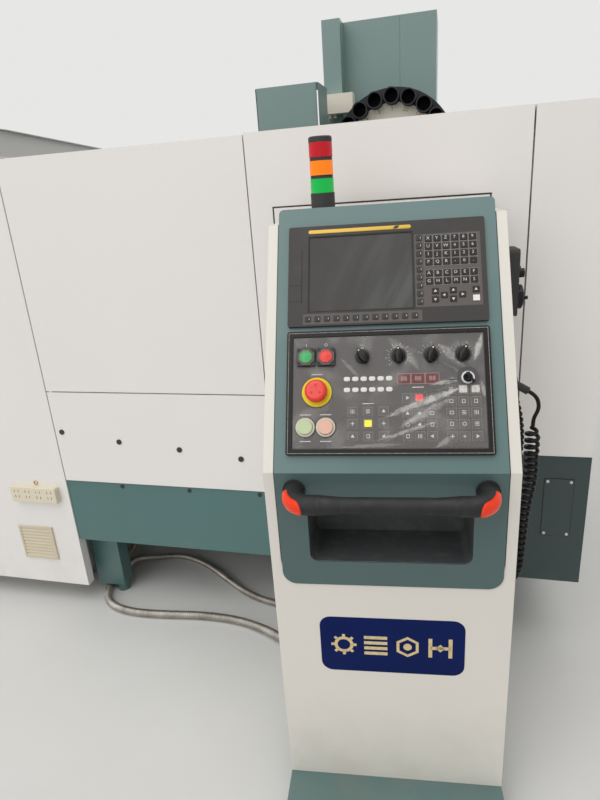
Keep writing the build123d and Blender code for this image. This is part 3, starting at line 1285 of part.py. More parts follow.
# Metal-clad conduits that lie on the floor between the bed and the console's foot
LOW_A = CONDUIT_A_DIAMETER / 2 + 0.5
LOW_B = CONDUIT_B_DIAMETER / 2 + 0.5
gland_face = BED_FRONT - GLAND_LENGTH
conduit_a_points = [
    floor_point(GLAND_A_X, gland_face, CONDUIT_GLAND_Z),
    floor_point(GLAND_A_X, 450, CONDUIT_GLAND_Z), floor_point(-351, 325, 40),
    floor_point(-347, 200, LOW_A), floor_point(-338, 78, LOW_A),
    floor_point(-284, -6, LOW_A), floor_point(-186, -38, LOW_A), floor_point(-52, -32, LOW_A),
    floor_point(90, -12, LOW_A), floor_point(228, -14, LOW_A), floor_point(340, -46, LOW_A + 2),
    console_point(-CONSOLE_HALF - 100, FOOT_GLAND_A, FOOT_GLAND_Z),
    console_point(-CONSOLE_HALF - 20, FOOT_GLAND_A, FOOT_GLAND_Z),
]
conduit_b_points = [
    floor_point(LEG_GLAND_X, tube_back + LEG_DEPTH + 20, LEG_GLAND_Z),
    floor_point(LEG_GLAND_X, 208, LEG_GLAND_Z), floor_point(-270, 258, 32),
    floor_point(-218, 297, LOW_B),
    floor_point(-150, 318, LOW_B), floor_point(-72, 306, LOW_B), floor_point(22, 262, LOW_B),
    floor_point(115, 195, LOW_B), floor_point(204, 136, LOW_B), floor_point(288, 100, LOW_B),
    floor_point(380, 86, LOW_B), floor_point(470, 95, 15), floor_point(530, 69, 23),
    console_point(FOOT_GLAND_B, CONSOLE_DEPTH + 80, FOOT_GLAND_Z),
    console_point(FOOT_GLAND_B, CONSOLE_DEPTH + 20, FOOT_GLAND_Z),
]
with BuildPart() as conduit_a:
    volume_a = tube(conduit_a_points, CONDUIT_A_DIAMETER, "conduit_a")
print("conduit a volume", conduit_a.part.volume / volume_a)
write(conduit_a, "conduit_a")
with BuildPart() as conduit_b:
    volume_b = tube(conduit_b_points, CONDUIT_B_DIAMETER, "conduit_b")
print("conduit b volume", conduit_b.part.volume / volume_b)
write(conduit_b, "conduit_b")
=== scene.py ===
"""Looks of the travelling-column machining centre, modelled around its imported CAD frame.

Lengths are metres in the frame's own directions: X right along the machine, Y away from the
operator and Z up, from the middle of the bed's anchors on the floor. Places and sizes of the
console's and the guard's small pieces are millimetres where a docstring says so.
"""

import logging
import math
import random
from bisect import bisect_left
from dataclasses import dataclass
from enum import Enum
from typing import Callable, Iterable, Sequence

import bmesh
import bpy
from mathutils import Matrix, Vector

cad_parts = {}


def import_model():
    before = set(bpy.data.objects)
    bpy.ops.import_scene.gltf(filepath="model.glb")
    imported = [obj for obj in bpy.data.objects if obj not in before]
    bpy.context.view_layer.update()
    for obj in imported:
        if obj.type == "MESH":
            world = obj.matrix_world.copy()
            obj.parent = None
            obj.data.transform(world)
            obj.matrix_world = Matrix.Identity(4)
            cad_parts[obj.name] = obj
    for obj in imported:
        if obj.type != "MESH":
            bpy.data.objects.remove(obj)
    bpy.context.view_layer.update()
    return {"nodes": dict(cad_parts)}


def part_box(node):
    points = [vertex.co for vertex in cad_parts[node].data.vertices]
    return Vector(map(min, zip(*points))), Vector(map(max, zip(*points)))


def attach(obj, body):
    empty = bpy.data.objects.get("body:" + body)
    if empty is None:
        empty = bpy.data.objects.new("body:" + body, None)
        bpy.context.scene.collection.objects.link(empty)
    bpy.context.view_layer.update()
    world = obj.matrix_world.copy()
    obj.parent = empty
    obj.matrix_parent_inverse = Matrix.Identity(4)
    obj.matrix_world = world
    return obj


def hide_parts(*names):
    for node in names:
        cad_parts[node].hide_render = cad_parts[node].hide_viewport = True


Colour = tuple[float, float, float]
Point = tuple[float, float, float]
Place = tuple[float, float]
Rect = tuple[float, float, float, float]
Crease = tuple[Place, Place, float]
Piece = bpy.types.Object
Socket = bpy.types.NodeSocket

MM = 0.001
INK = 0.12 * MM
logger = logging.getLogger("machining_centre")


@dataclass(frozen=True)
class Seat:
    """A flat place on the machine: a point of it, the way across it and the way up it."""

    origin: Vector
    across: Vector
    up: Vector

    @property
    def normal(self) -> Vector:
        """The direction out of the place."""
        return self.across.cross(self.up)

    def at(self, u: float = 0.0, v: float = 0.0, rise: float = 0.0) -> "Seat":
        """The same place, moved across, up and out."""
        moved = self.origin + self.across * u + self.up * v + self.normal * rise
        return Seat(moved, self.across, self.up)

    def mm(self, u: float = 0.0, v: float = 0.0, rise: float = 0.0) -> "Seat":
        """The same place, moved across, up and out by millimetres."""
        return self.at(u * MM, v * MM, rise * MM)

    def matrix(self, turn: float = 0.0) -> Matrix:
        """Takes a piece modelled round the origin to this place.

        Args:
            turn: an angle about the normal, in radians.

        Returns:
            The matrix that the piece's mesh is transformed by.
        """
        axes = Matrix((self.across, self.up, self.normal)).transposed().to_4x4()
        return Matrix.Translation(self.origin) @ axes @ Matrix.Rotation(turn, 4, "Z")


@dataclass(frozen=True)
class ConsoleDatum:
    """Where the operator console stands and how its face leans."""

    foot: Point = (0.815, -1.999, 0.0)
    turn: float = math.radians(5.9)
    lean: float = math.radians(30.9)
    knee: float = 0.880
    face_centre: float = 0.408
    half: float = 0.247

    @property
    def across(self) -> Vector:
        """The console's own way to the right."""
        return Vector((math.cos(self.turn), math.sin(self.turn), 0.0))

    @property
    def inward(self) -> Vector:
        """The console's own way from its front to its back."""
        return Vector((-math.sin(self.turn), math.cos(self.turn), 0.0))

    def point(self, xc: float, yc: float, z: float) -> Vector:
        """A point of the console's own frame in the machine's frame."""
        return Vector(self.foot) + self.across * xc + self.inward * yc + Vector((0, 0, z))

    def slant_point(self, along: float) -> Vector:
        """The point on the face's middle line at a way up from the knee."""
        yc = along * math.sin(self.lean)
        return self.point(0.0, yc, self.knee + along * math.cos(self.lean))

    def face(self) -> Seat:
        """The leaning face, from the middle of the display."""
        up = self.inward * math.sin(self.lean) + Vector((0, 0, math.cos(self.lean)))
        return Seat(self.slant_point(self.face_centre), self.across, up)

    def front(self) -> Seat:
        """The upright front below the knee, from the floor."""
        return Seat(Vector(self.foot), self.across, Vector((0, 0, 1)))


CONSOLE = ConsoleDatum()
FACE = CONSOLE.face()
GUARD_FRONT = Seat(Vector((0.0, -1.460, 0.0)), Vector((1, 0, 0)), Vector((0, 0, 1)))


class Controls(Enum):
    """Places of the panel's controls on the console's face, across and up."""

    START = (-160.4 * MM, -176.0 * MM)
    HALT = (-120.3 * MM, -176.0 * MM)
    STOP = (-138.4 * MM, -247.8 * MM)
    CYCLE = (-161.0 * MM, -318.5 * MM)
    HOLD = (-120.4 * MM, -318.5 * MM)
    KEY = (154.8 * MM, -223.6 * MM)

    def seat(self, rise: float) -> Seat:
        """The control's own place, some millimetres above the face."""
        return FACE.at(*self.value, rise * MM)


KNOBS: list[Place] = [(u * MM, -177.0 * MM) for u in (-47.4, 23.6, 86.9, 147.3)]
KNOB_TURNS: list[float] = [math.radians(angle) for angle in (125.0, 92.0, 75.0, 68.0)]
STACK_LIGHT: Vector = CONSOLE.point(-132 * MM, 330 * MM, 0.0)
ACCESS_PLATE: Place = (1.224, 0.520)


def shift(x: float = 0.0, y: float = 0.0, z: float = 0.0) -> Matrix:
    """A move by millimetres."""
    return Matrix.Translation((x * MM, y * MM, z * MM))


def around(centre: Place, half_width: float, half_height: float) -> Rect:
    """The left, right, low and high edges of a rectangle round a centre."""
    u, v = centre
    return (u - half_width, u + half_width, v - half_height, v + half_height)


class Graph:
    """The node tree of one material, built by calls that return sockets."""

    def __init__(self, name: str) -> None:
        """Starts a material with its principled shader and the piece's own coordinates."""
        self.material = bpy.data.materials.new(name)
        self.material.use_nodes = True
        self.tree = self.material.node_tree
        self.shader = self.tree.nodes["Principled BSDF"]
        self.place = self.add("ShaderNodeTexCoord").outputs["Object"]

    def add(self, kind: str, **settings: object) -> bpy.types.Node:
        """A new node of a kind, with its settings."""
        node = self.tree.nodes.new(kind)
        for key, value in settings.items():
            setattr(node, key, value)
        return node

    def feed(self, socket: Socket, value: object) -> None:
        """Links a socket to another, or gives it a plain value."""
        if isinstance(value, bpy.types.NodeSocket):
            self.tree.links.new(value, socket)
        else:
            socket.default_value = value

    def set(self, name: str, value: object) -> None:
        """Feeds one of the shader's inputs."""
        if isinstance(value, tuple) and len(value) == 3:
            value = (*value, 1.0)
        self.feed(self.shader.inputs[name], value)

    def math(self, operation: str, first: object, second: object = 0.0) -> Socket:
        """One sum of two values."""
        node = self.add("ShaderNodeMath", operation=operation)
        self.feed(node.inputs[0], first)
        self.feed(node.inputs[1], second)
        return node.outputs[0]

    def step(self, value: object, low: float, high: float) -> Socket:
        """Goes smoothly from 0 where the value is low to 1 where it is high."""
        node = self.add("ShaderNodeMapRange", interpolation_type="SMOOTHSTEP")
        self.feed(node.inputs["Value"], value)
        self.feed(node.inputs["From Min"], low)
        self.feed(node.inputs["From Max"], high)
        return node.outputs["Result"]

    def band(self, value: object, low: float, high: float, soft: float = 0.2 * MM) -> Socket:
        """1 between two values and 0 outside them."""
        distance = self.math("ABSOLUTE", self.math("SUBTRACT", value, (low + high) / 2))
        half = (high - low) / 2
        return self.step(distance, half + soft, half - soft)

    def both(self, *values: object) -> Socket:
        """The product of several masks."""
        result = values[0]
        for value in values[1:]:
            result = self.math("MULTIPLY", result, value)
        return result

    def either(self, *values: object) -> Socket:
        """The largest of several masks."""
        result = values[0]
        for value in values[1:]:
            result = self.math("MAXIMUM", result, value)
        return result

    def patch(self, u: object, v: object, area: Rect) -> Socket:
        """1 inside a rectangle of a place and 0 outside it."""
        left, right, low, high = area
        return self.both(self.band(u, left, right), self.band(v, low, high))

    def stretched(self, scale: Point) -> Socket:
        """The piece's coordinates, stretched along its axes."""
        node = self.add("ShaderNodeMapping")
        self.feed(node.inputs["Vector"], self.place)
        node.inputs["Scale"].default_value = scale
        return node.outputs[0]

    def noise(
        self, size: float, detail: float = 3.0, place: object = None, rough: float = 0.5
    ) -> Socket:
        """Cloudy variation with features of a size."""
        node = self.add("ShaderNodeTexNoise")
        self.feed(node.inputs["Vector"], place or self.place)
        node.inputs["Scale"].default_value = 1.0 / size
        node.inputs["Detail"].default_value = detail
        node.inputs["Roughness"].default_value = rough
        return node.outputs[0]

    def mix(self, factor: object, first: object, second: object) -> Socket:
        """A colour between two."""
        node = self.add("ShaderNodeMix", data_type="RGBA")
        self.feed(node.inputs[0], factor)
        for socket, value in ((node.inputs[6], first), (node.inputs[7], second)):
            self.feed(socket, (*value, 1.0) if isinstance(value, tuple) else value)
        return node.outputs[2]

    def bump(self, height: object, distance: float, normal: object = None) -> Socket:
        """A normal bent by a height."""
        node = self.add("ShaderNodeBump")
        node.inputs["Distance"].default_value = distance
        self.feed(node.inputs["Height"], height)
        if normal is not None:
            self.feed(node.inputs["Normal"], normal)
        return node.outputs[0]

    def rounded(self, radius: float) -> Socket:
        """A normal that turns over sharp edges as if they were rounded."""
        node = self.add("ShaderNodeBevel", samples=4)
        node.inputs["Radius"].default_value = radius
        return node.outputs[0]

    def axis(self, index: int) -> Socket:
        """One of the piece's own coordinates."""
        node = self.add("ShaderNodeSeparateXYZ")
        self.feed(node.inputs[0], self.place)
        return node.outputs[index]

    def seat(self, seat: Seat) -> list[Socket]:
        """How far a point lies across, up and out of a place."""
        offset = self.add("ShaderNodeVectorMath", operation="SUBTRACT")
        self.feed(offset.inputs[0], self.place)
        offset.inputs[1].default_value = seat.origin
        result = []
        for direction in (seat.across, seat.up, seat.normal):
            dot = self.add("ShaderNodeVectorMath", operation="DOT_PRODUCT")
            self.feed(dot.inputs[0], offset.outputs[0])
            dot.inputs[1].default_value = direction
            result.append(dot.outputs["Value"])
        return result

    def streak(self, u: object, v: object, start: Place, end: Place, width: float) -> Socket:
        """A leaf-shaped mask along a line of a place, widest in its middle.

        Args:
            u: how far a point lies across the place.
            v: how far it lies up the place.
            start: one end of the line.
            end: the other end.
            width: the leaf's greatest width.

        Returns:
            1 inside the leaf and 0 outside it.
        """
        run = Vector((end[0] - start[0], end[1] - start[1]))
        way = run.normalized()
        du = self.math("SUBTRACT", u, start[0])
        dv = self.math("SUBTRACT", v, start[1])
        along = self.math(
            "ADD", self.math("MULTIPLY", du, way.x), self.math("MULTIPLY", dv, way.y)
        )
        aside = self.math(
            "SUBTRACT", self.math("MULTIPLY", dv, way.x), self.math("MULTIPLY", du, way.y)
        )
        share = self.math("DIVIDE", along, run.length)
        bulge = self.math("MULTIPLY", share, self.math("SUBTRACT", 1.0, share))
        limit = self.math("MULTIPLY", self.math("MAXIMUM", bulge, 0.0), 2.0 * width)
        return self.step(
            self.math("SUBTRACT", limit, self.math("ABSOLUTE", aside)), 0.0, 0.35 * width
        )

    def far(self, u: object, v: object, centre: Place) -> Socket:
        """How far a point of a place lies from a centre."""
        du = self.math("SUBTRACT", u, centre[0])
        dv = self.math("SUBTRACT", v, centre[1])
        square = self.math("ADD", self.math("MULTIPLY", du, du), self.math("MULTIPLY", dv, dv))
        return self.math("SQRT", square)


@dataclass(frozen=True)
class Finish:
    """A surface finish: its colour and gloss, and how they vary over the surface."""

    name: str
    colour: Colour
    roughness: float
    metallic: float = 0.0
    coat: float = 0.0
    mottle: float = 0.05
    mottle_size: float = 0.25
    grain: float = 1.2 * MM
    relief: float = 0.01 * MM
    rounding: float = 0.0
    shine: float = 0.5

    def material(self) -> bpy.types.Material:
        """The finish as a material, made once."""
        found = bpy.data.materials.get(self.name)
        if found is not None:
            return found
        graph = Graph(self.name)
        graph.set("Base Color", self.paint(graph))
        graph.set("Roughness", self.gloss(graph))
        graph.set("Metallic", self.metallic)
        graph.set("Coat Weight", self.coat)
        graph.set("Specular IOR Level", self.shine)
        normal = graph.rounded(self.rounding) if self.rounding > 0 else None
        graph.set("Normal", graph.bump(self.height(graph), self.relief, normal))
        self.complete(graph)
        return graph.material

    def paint(self, graph: Graph) -> object:
        """The colour, a little darker and lighter in broad clouds."""
        cloud = graph.noise(self.mottle_size, 4.0)
        dark = tuple(channel * (1 - self.mottle) for channel in self.colour)
        light = tuple(min(1.0, channel * (1 + self.mottle)) for channel in self.colour)
        return graph.mix(graph.step(cloud, 0.3, 0.7), dark, light)

    def gloss(self, graph: Graph) -> object:
        """The roughness, uneven as handling leaves it."""
        cloud = graph.noise(self.mottle_size * 0.4, 4.0)
        low, high = self.roughness * 0.85, self.roughness * 1.15
        return graph.math("ADD", low, graph.math("MULTIPLY", cloud, high - low))

    def height(self, graph: Graph) -> object:
        """The relief of the surface."""
        return graph.noise(self.grain, 2.0)

    def complete(self, graph: Graph) -> None:
        """What a special finish adds to the shader."""


@dataclass(frozen=True)
class SheetPaint(Finish):
    """Sprayed sheet: orange peel, dust low down, faint streaks and scuffs."""

    dust: Colour = (0.34, 0.29, 0.22)
    dust_top: float = 0.45
    dust_foot: float = 0.05
    dust_share: float = 0.14
    cloud_size: float = 90 * MM
    run_size: float = 50 * MM
    run_stretch: Point = (1.0, 1.0, 0.12)
    scuff_size: float = 12 * MM
    scuff_stretch: Point = (0.25, 0.25, 1.6)
    scuff_share: float = 0.12

    def paint(self, graph: Graph) -> object:
        """Broad clouds under floor dust that thins out upwards and hand marks."""
        base = super().paint(graph)
        low = graph.step(graph.axis(2), self.dust_top, self.dust_foot)
        cloud = graph.step(graph.noise(self.cloud_size, 5.0, rough=0.65), 0.35, 0.75)
        streaks = graph.noise(self.run_size, 4.0, graph.stretched(self.run_stretch))
        run = graph.step(streaks, 0.5, 0.8)
        share = graph.both(low, graph.either(cloud, run), self.dust_share)
        dusty = graph.mix(share, base, self.dust)
        scuff = graph.noise(self.scuff_size, 5.0, graph.stretched(self.scuff_stretch), 0.7)
        sparse = graph.step(graph.noise(0.4, 2.0), 0.55, 0.75)
        marks = graph.both(graph.step(scuff, 0.66, 0.74), sparse, self.scuff_share)
        return graph.mix(marks, dusty, tuple(channel * 0.5 for channel in self.colour))


@dataclass(frozen=True)
class ScoredPaint(SheetPaint):
    """Sheet paint with the scored outline of a plate, black in its groove as painted shade."""

    score: Colour = (0.018, 0.017, 0.016)
    groove: Place = (-1.9 * MM, -0.6 * MM)

    def paint(self, graph: Graph) -> object:
        """Black in the shallow groove as painted shade, and painted elsewhere."""
        _, _, rise = graph.seat(GUARD_FRONT)
        # painted shade: the groove is coloured near black
        return graph.mix(graph.band(rise, *self.groove), super().paint(graph), self.score)


@dataclass(frozen=True)
class Casting(Finish):
    """Painted casting: a pitted skin and darker oil stains in broad clouds."""

    pit: float = 2.5 * MM
    lump: float = 18 * MM
    stain_size: float = 120 * MM

    def height(self, graph: Graph) -> object:
        """Sand-cast pitting under thick paint."""
        fine = graph.noise(self.pit, 3.0)
        broad = graph.noise(self.lump, 2.0)
        return graph.math("ADD", fine, graph.math("MULTIPLY", broad, 2.0))

    def paint(self, graph: Graph) -> object:
        """Clouds with darker stains."""
        stain = graph.step(graph.noise(self.stain_size, 5.0, rough=0.7), 0.55, 0.8)
        dark = tuple(channel * 0.55 for channel in self.colour)
        return graph.mix(graph.math("MULTIPLY", stain, 0.5), super().paint(graph), dark)


@dataclass(frozen=True)
class GroundMetal(Finish):
    """Bare metal with the fine lines of grinding or turning."""

    line: float = 0.8 * MM
    line_stretch: Point = (0.06, 1.0, 1.0)
    gloss_line: float = 1.5 * MM
    gloss_stretch: Point = (0.05, 1.0, 1.0)
    oil_size: float = 70 * MM

    def height(self, graph: Graph) -> object:
        """Fine lines along the piece's X."""
        return graph.noise(self.line, 2.0, graph.stretched(self.line_stretch))

    def gloss(self, graph: Graph) -> object:
        """Rougher along the grinding lines and glossier in old oil."""
        lines = graph.noise(self.gloss_line, 3.0, graph.stretched(self.gloss_stretch))
        oil = graph.step(graph.noise(self.oil_size, 3.0), 0.45, 0.7)
        lined = graph.math("MULTIPLY", lines, 0.18)
        return graph.math(
            "SUBTRACT", graph.math("ADD", self.roughness, lined), graph.math("MULTIPLY", oil, 0.12)
        )


@dataclass(frozen=True)
class Moulding(Finish):
    """Moulded plastic: spark-eroded grain and finger marks in the gloss."""

    rubbed_size: float = 35 * MM

    def gloss(self, graph: Graph) -> object:
        """Glossier where hands rub."""
        rubbed = graph.step(graph.noise(self.rubbed_size, 4.0), 0.5, 0.7)
        return graph.math(
            "SUBTRACT", self.roughness, graph.math("MULTIPLY", rubbed, self.roughness * 0.3)
        )


@dataclass(frozen=True)
class Lens(Finish):
    """Clear-toned plastic over a lamp, ribbed upright inside."""

    centre: Place = (0.0, 0.0)
    ribs: int = 0
    clear: float = 0.45
    glow: float = 0.0
    bending: float = 1.49

    def height(self, graph: Graph) -> object:
        """Upright ribs round the lens."""
        if self.ribs == 0:
            return super().height(graph)
        x = graph.math("SUBTRACT", graph.axis(0), self.centre[0])
        y = graph.math("SUBTRACT", graph.axis(1), self.centre[1])
        angle = graph.math("ARCTAN2", y, x)
        return graph.math("SINE", graph.math("MULTIPLY", angle, float(self.ribs)))

    def complete(self, graph: Graph) -> None:
        """Lets light into the plastic."""
        graph.set("Transmission Weight", self.clear)
        graph.set("IOR", self.bending)
        graph.set("Emission Color", self.colour)
        graph.set("Emission Strength", self.glow)


@dataclass(frozen=True)
class FasciaPaint(SheetPaint):
    """The fascia's teal, with painted shade that darkens its upright part below the knee."""

    upright_share: float = 0.34

    def paint(self, graph: Graph) -> object:
        """Darker below the knee: painted shade."""
        # painted shade: the upright part below the knee is darkened towards black
        below = graph.step(graph.axis(2), CONSOLE.knee + 1 * MM, CONSOLE.knee - 1 * MM)
        share = graph.math("MULTIPLY", below, self.upright_share)
        return graph.mix(share, super().paint(graph), (0.0, 0.0, 0.0))


@dataclass(frozen=True)
class OutlinedPaint(SheetPaint):
    """Sheet paint with a painted shadow line round a screwed plate on it."""

    plate: Place = ACCESS_PLATE
    half: Place = (38 * MM, 90 * MM)
    outside: float = 1.8 * MM
    inside: float = -0.6 * MM
    dirt: Colour = (0.010, 0.014, 0.014)

    def paint(self, graph: Graph) -> object:
        """A dark line along the plate's edge: painted shadow."""
        u, v, _ = graph.seat(GUARD_FRONT)
        wide, tall = self.half
        outer, inner = (
            graph.patch(u, v, around(self.plate, wide + more, tall + more))
            for more in (self.outside, self.inside)
        )
        # painted shadow: a dark line just round the plate's edge
        line = graph.math("SUBTRACT", outer, inner)
        return graph.mix(line, super().paint(graph), self.dirt)


@dataclass(frozen=True)
class ConsolePaint(SheetPaint):
    """The console's white sheet: painted shade in the tray's recess and a painted shadow line
    beside the fascia.
    """

    recess: Colour = (0.066, 0.074, 0.077)
    worn: Colour = (0.125, 0.120, 0.108)
    seam: Colour = (0.030, 0.032, 0.030)
    fitting: Colour = (0.008, 0.008, 0.008)
    recess_area: Rect = (-0.166, 0.166, 0.674, 0.808)
    recess_mouth: Place = (-3.1 * MM, -3.4 * MM)
    recess_back: Place = (-160 * MM, -140 * MM)
    seam_sides: Place = (224.4 * MM, 226.4 * MM)
    seam_foot: Place = (660 * MM, 680 * MM)
    fitting_gap: Place = (0.3 * MM, 0.6 * MM)

    def paint(self, graph: Graph) -> object:
        """White outside, and inside the tray dark with painted shade and paler in rubbed clouds."""
        xc, z, out = graph.seat(CONSOLE.front())
        inside = graph.both(
            graph.patch(xc, z, self.recess_area),
            graph.step(out, *self.recess_mouth), graph.step(out, *self.recess_back),
        )
        rubbed = graph.step(graph.noise(0.03, 6.0, rough=0.7), 0.45, 0.75)
        # painted shade: the tray's recess is coloured dark, with paler rubbed clouds
        shaded_and_rubbed = graph.mix(graph.math("MULTIPLY", rubbed, 0.7), self.recess, self.worn)
        # painted shadow: a dark line on the body along both side edges of the fascia
        seam = graph.both(
            graph.band(graph.math("ABSOLUTE", xc), *self.seam_sides),
            graph.step(z, *self.seam_foot),
        )
        dressed = graph.mix(seam, super().paint(graph), self.seam)
        beyond = graph.step(graph.math("SUBTRACT", xc, CONSOLE.half), *self.fitting_gap)
        return graph.mix(inside, graph.mix(beyond, dressed, self.fitting), shaded_and_rubbed)


@dataclass(frozen=True)
class BezelMoulding(Moulding):
    """The display unit's moulding: key field, soft key field, card door and black keys."""

    field: Colour = (0.110, 0.094, 0.090)
    line: Colour = (0.012, 0.011, 0.011)
    key: Colour = (0.018, 0.016, 0.016)
    pale_key: Colour = (0.78, 0.76, 0.72)
    fields: tuple[Rect, ...] = (
        (0.060, 0.190, -0.078, 0.078), (-0.168, 0.072, -0.106, -0.084),
    )
    slot: Rect = (-0.1725, -0.1705, -0.060, 0.058)
    door_top: Rect = (-0.198, -0.171, -0.0215, -0.0203)
    door_foot: Rect = (-0.198, -0.171, -0.0565, -0.0553)
    window: Rect = (-0.1585, 0.0575, -0.0805, 0.0875)
    glass: Rect = (-0.1565, 0.0555, -0.0785, 0.0855)
    pale_area: Rect = (0.170, 0.185, -0.0702, -0.0566)
    key_rise: Place = (8.4 * MM, 8.8 * MM)

    def paint(self, graph: Graph) -> object:
        """The printed fields and lines of the moulding."""
        u, v, rise = graph.seat(FACE)
        field = graph.either(*[graph.patch(u, v, area) for area in self.fields])
        glass = graph.patch(u, v, self.glass)
        edge = graph.both(graph.patch(u, v, self.window), graph.math("SUBTRACT", 1.0, glass))
        scored = [graph.patch(u, v, area) for area in (self.slot, self.door_top, self.door_foot)]
        plain = graph.mix(field, super().paint(graph), self.field)
        painted = graph.mix(graph.either(edge, *scored), plain, self.line)
        keys = graph.mix(graph.patch(u, v, self.pale_area), self.key, self.pale_key)
        return graph.mix(graph.step(rise, *self.key_rise), painted, keys)


@dataclass(frozen=True)
class PanelMoulding(Moulding):
    """The operator panel: black frame, grey plate and its coloured lamps, rings and windows."""

    plate: Colour = (0.088, 0.082, 0.082)
    lamp: Colour = (0.78, 0.78, 0.76)
    window: Colour = (0.11, 0.030, 0.032)
    key: Colour = (0.105, 0.100, 0.098)
    ring: Colour = (0.62, 0.60, 0.50)
    stop: Colour = (0.80, 0.62, 0.03)
    block: Colour = (0.020, 0.018, 0.017)
    plate_area: Rect = (-0.1879, 0.1879, -0.3619, -0.1331)
    lamp_area: Rect = (-0.087, 0.012, -0.252, -0.214)
    window_area: Rect = (0.0195, 0.1015, -0.235, -0.213)
    plate_rise: Place = (9.0 * MM, 8.8 * MM)
    lamp_rise: Place = (6.9 * MM, 7.05 * MM)
    key_rise: Place = (6.3 * MM, 6.6 * MM)
    key_top: Place = (7.1 * MM, 7.04 * MM)
    ring_edge: Place = (19.6 * MM, 19.3 * MM)
    stop_edge: Place = (30.6 * MM, 30.2 * MM)
    block_half: float = 19 * MM

    def paint(self, graph: Graph) -> object:
        """Every printed or moulded-in colour of the panel, one over the other."""
        u, v, rise = graph.seat(FACE)
        colour = super().paint(graph)
        plate = graph.both(
            graph.patch(u, v, self.plate_area), graph.step(rise, *self.plate_rise)
        )
        raised = graph.both(plate, graph.step(rise, *self.lamp_rise))
        above = graph.step(rise, *self.key_rise)
        keys = graph.both(plate, above, graph.step(rise, *self.key_top))
        layers = [
            (plate, self.plate),
            (graph.both(raised, graph.patch(u, v, self.lamp_area)), self.lamp),
            (graph.both(raised, graph.patch(u, v, self.window_area)), self.window),
            (keys, self.key),
        ]
        for control, edge, tone in (
            (Controls.CYCLE, self.ring_edge, self.ring), (Controls.HOLD, self.ring_edge, self.ring),
            (Controls.STOP, self.stop_edge, self.stop),
        ):
            collar = graph.step(graph.far(u, v, control.value), *edge)
            layers.append((graph.both(above, collar), tone))
        for control in (Controls.START, Controls.HALT):
            area = around(control.value, self.block_half, self.block_half)
            layers.append((graph.both(above, graph.patch(u, v, area)), self.block))
        for mask, tone in layers:
            colour = graph.mix(mask, colour, tone)
        return colour


@dataclass(frozen=True)
class Window(Moulding):
    """The display's dull plastic window, wiped in slanting streaks."""

    smear: Colour = (0.092, 0.095, 0.090)
    slant: float = 0.42

    def paint(self, graph: Graph) -> object:
        """Dark on the left and smeared paler towards the lower right."""
        u, v, _ = graph.seat(FACE)
        wiped = graph.add("ShaderNodeCombineXYZ")
        leaning = graph.math("SUBTRACT", u, graph.math("MULTIPLY", v, self.slant))
        graph.feed(wiped.inputs[0], leaning)
        graph.feed(wiped.inputs[1], graph.math("MULTIPLY", v, 0.15))
        streak = graph.step(graph.noise(0.038, 3.0, wiped.outputs[0]), 0.35, 0.72)
        side = graph.step(graph.math("SUBTRACT", u, graph.math("MULTIPLY", v, 0.5)), -0.2, 0.1)
        share = graph.math("MULTIPLY", graph.math("ADD", streak, 0.25), side)
        return graph.mix(graph.math("MULTIPLY", share, 0.7), self.colour, self.smear)


@dataclass(frozen=True)
class Film(Finish):
    """Creased clear film: nearly unseen except where it glares.

    Each glare is a start, an end, a width and a strength on the console's face, and each
    crease a start, an end and a width.
    """

    glares: tuple[tuple[Place, Place, float, float], ...] = (
        ((0.162, -0.236), (-0.016, -0.304), 19 * MM, 0.58),
        ((0.135, -0.258), (0.015, -0.324), 22 * MM, 0.36),
        ((0.110, -0.305), (-0.035, -0.350), 12 * MM, 0.34),
        ((0.000, -0.134), (0.068, -0.212), 34 * MM, 0.26),
        ((0.186, -0.132), (0.166, -0.200), 18 * MM, 0.50),
        ((0.096, -0.150), (0.156, -0.208), 26 * MM, 0.30),
        ((0.076, -0.238), (0.152, -0.225), 13 * MM, 0.45),
        ((0.178, -0.226), (0.186, -0.268), 11 * MM, 0.36),
        ((0.125, -0.335), (0.085, -0.364), 14 * MM, 0.25),
        ((-0.095, -0.176), (-0.050, -0.222), 12 * MM, 0.16),
        ((0.040, -0.352), (-0.120, -0.360), 10 * MM, 0.18),
    )
    creases: tuple[Crease, ...] = (
        ((0.086, -0.184), (0.118, -0.198), 4.6 * MM),
        ((0.112, -0.196), (0.150, -0.220), 4.6 * MM),
        ((0.098, -0.228), (0.152, -0.227), 3.8 * MM),
        ((0.035, -0.262), (0.150, -0.236), 2.0 * MM),
    )
    dirt: Colour = (0.018, 0.015, 0.014)
    thin: float = 0.05

    def paint(self, graph: Graph) -> object:
        """A faint milky tone."""
        return self.colour

    def height(self, graph: Graph) -> object:
        """Small crumples between the modelled creases."""
        return graph.noise(9 * MM, 4.0, rough=0.6)

    def complete(self, graph: Graph) -> None:
        """Paints the film's glare: milky streaks that follow its creases, painted highlights in
        place of reflections.
        """
        u, v, _ = graph.seat(FACE)
        rough = graph.noise(0.012, 4.0, rough=0.7)
        wave = graph.math("MULTIPLY", graph.math("SUBTRACT", rough, 0.5), 14 * MM)
        bent = graph.math("ADD", v, wave)
        torn = graph.step(graph.noise(0.020, 4.0, rough=0.6), 0.15, 0.62)
        # painted highlights: the glare streaks and broad clouds make the milky film more opaque
        glare = graph.either(*[
            graph.both(graph.streak(u, bent, start, end, wide), torn, share)
            for start, end, wide, share in self.glares
        ])
        creases = graph.either(*[
            graph.streak(u, graph.math("ADD", v, graph.math("MULTIPLY", wave, 0.3)), *crease)
            for crease in self.creases
        ])
        broad = graph.both(graph.step(graph.noise(0.05, 3.0), 0.45, 0.75), 0.12)
        alpha = graph.math("ADD", self.thin, graph.either(glare, broad))
        # darker and nearly opaque along the creases
        graph.set("Alpha", graph.either(alpha, graph.math("MULTIPLY", creases, 0.92)))
        graph.set("Base Color", graph.mix(creases, self.colour, self.dirt))


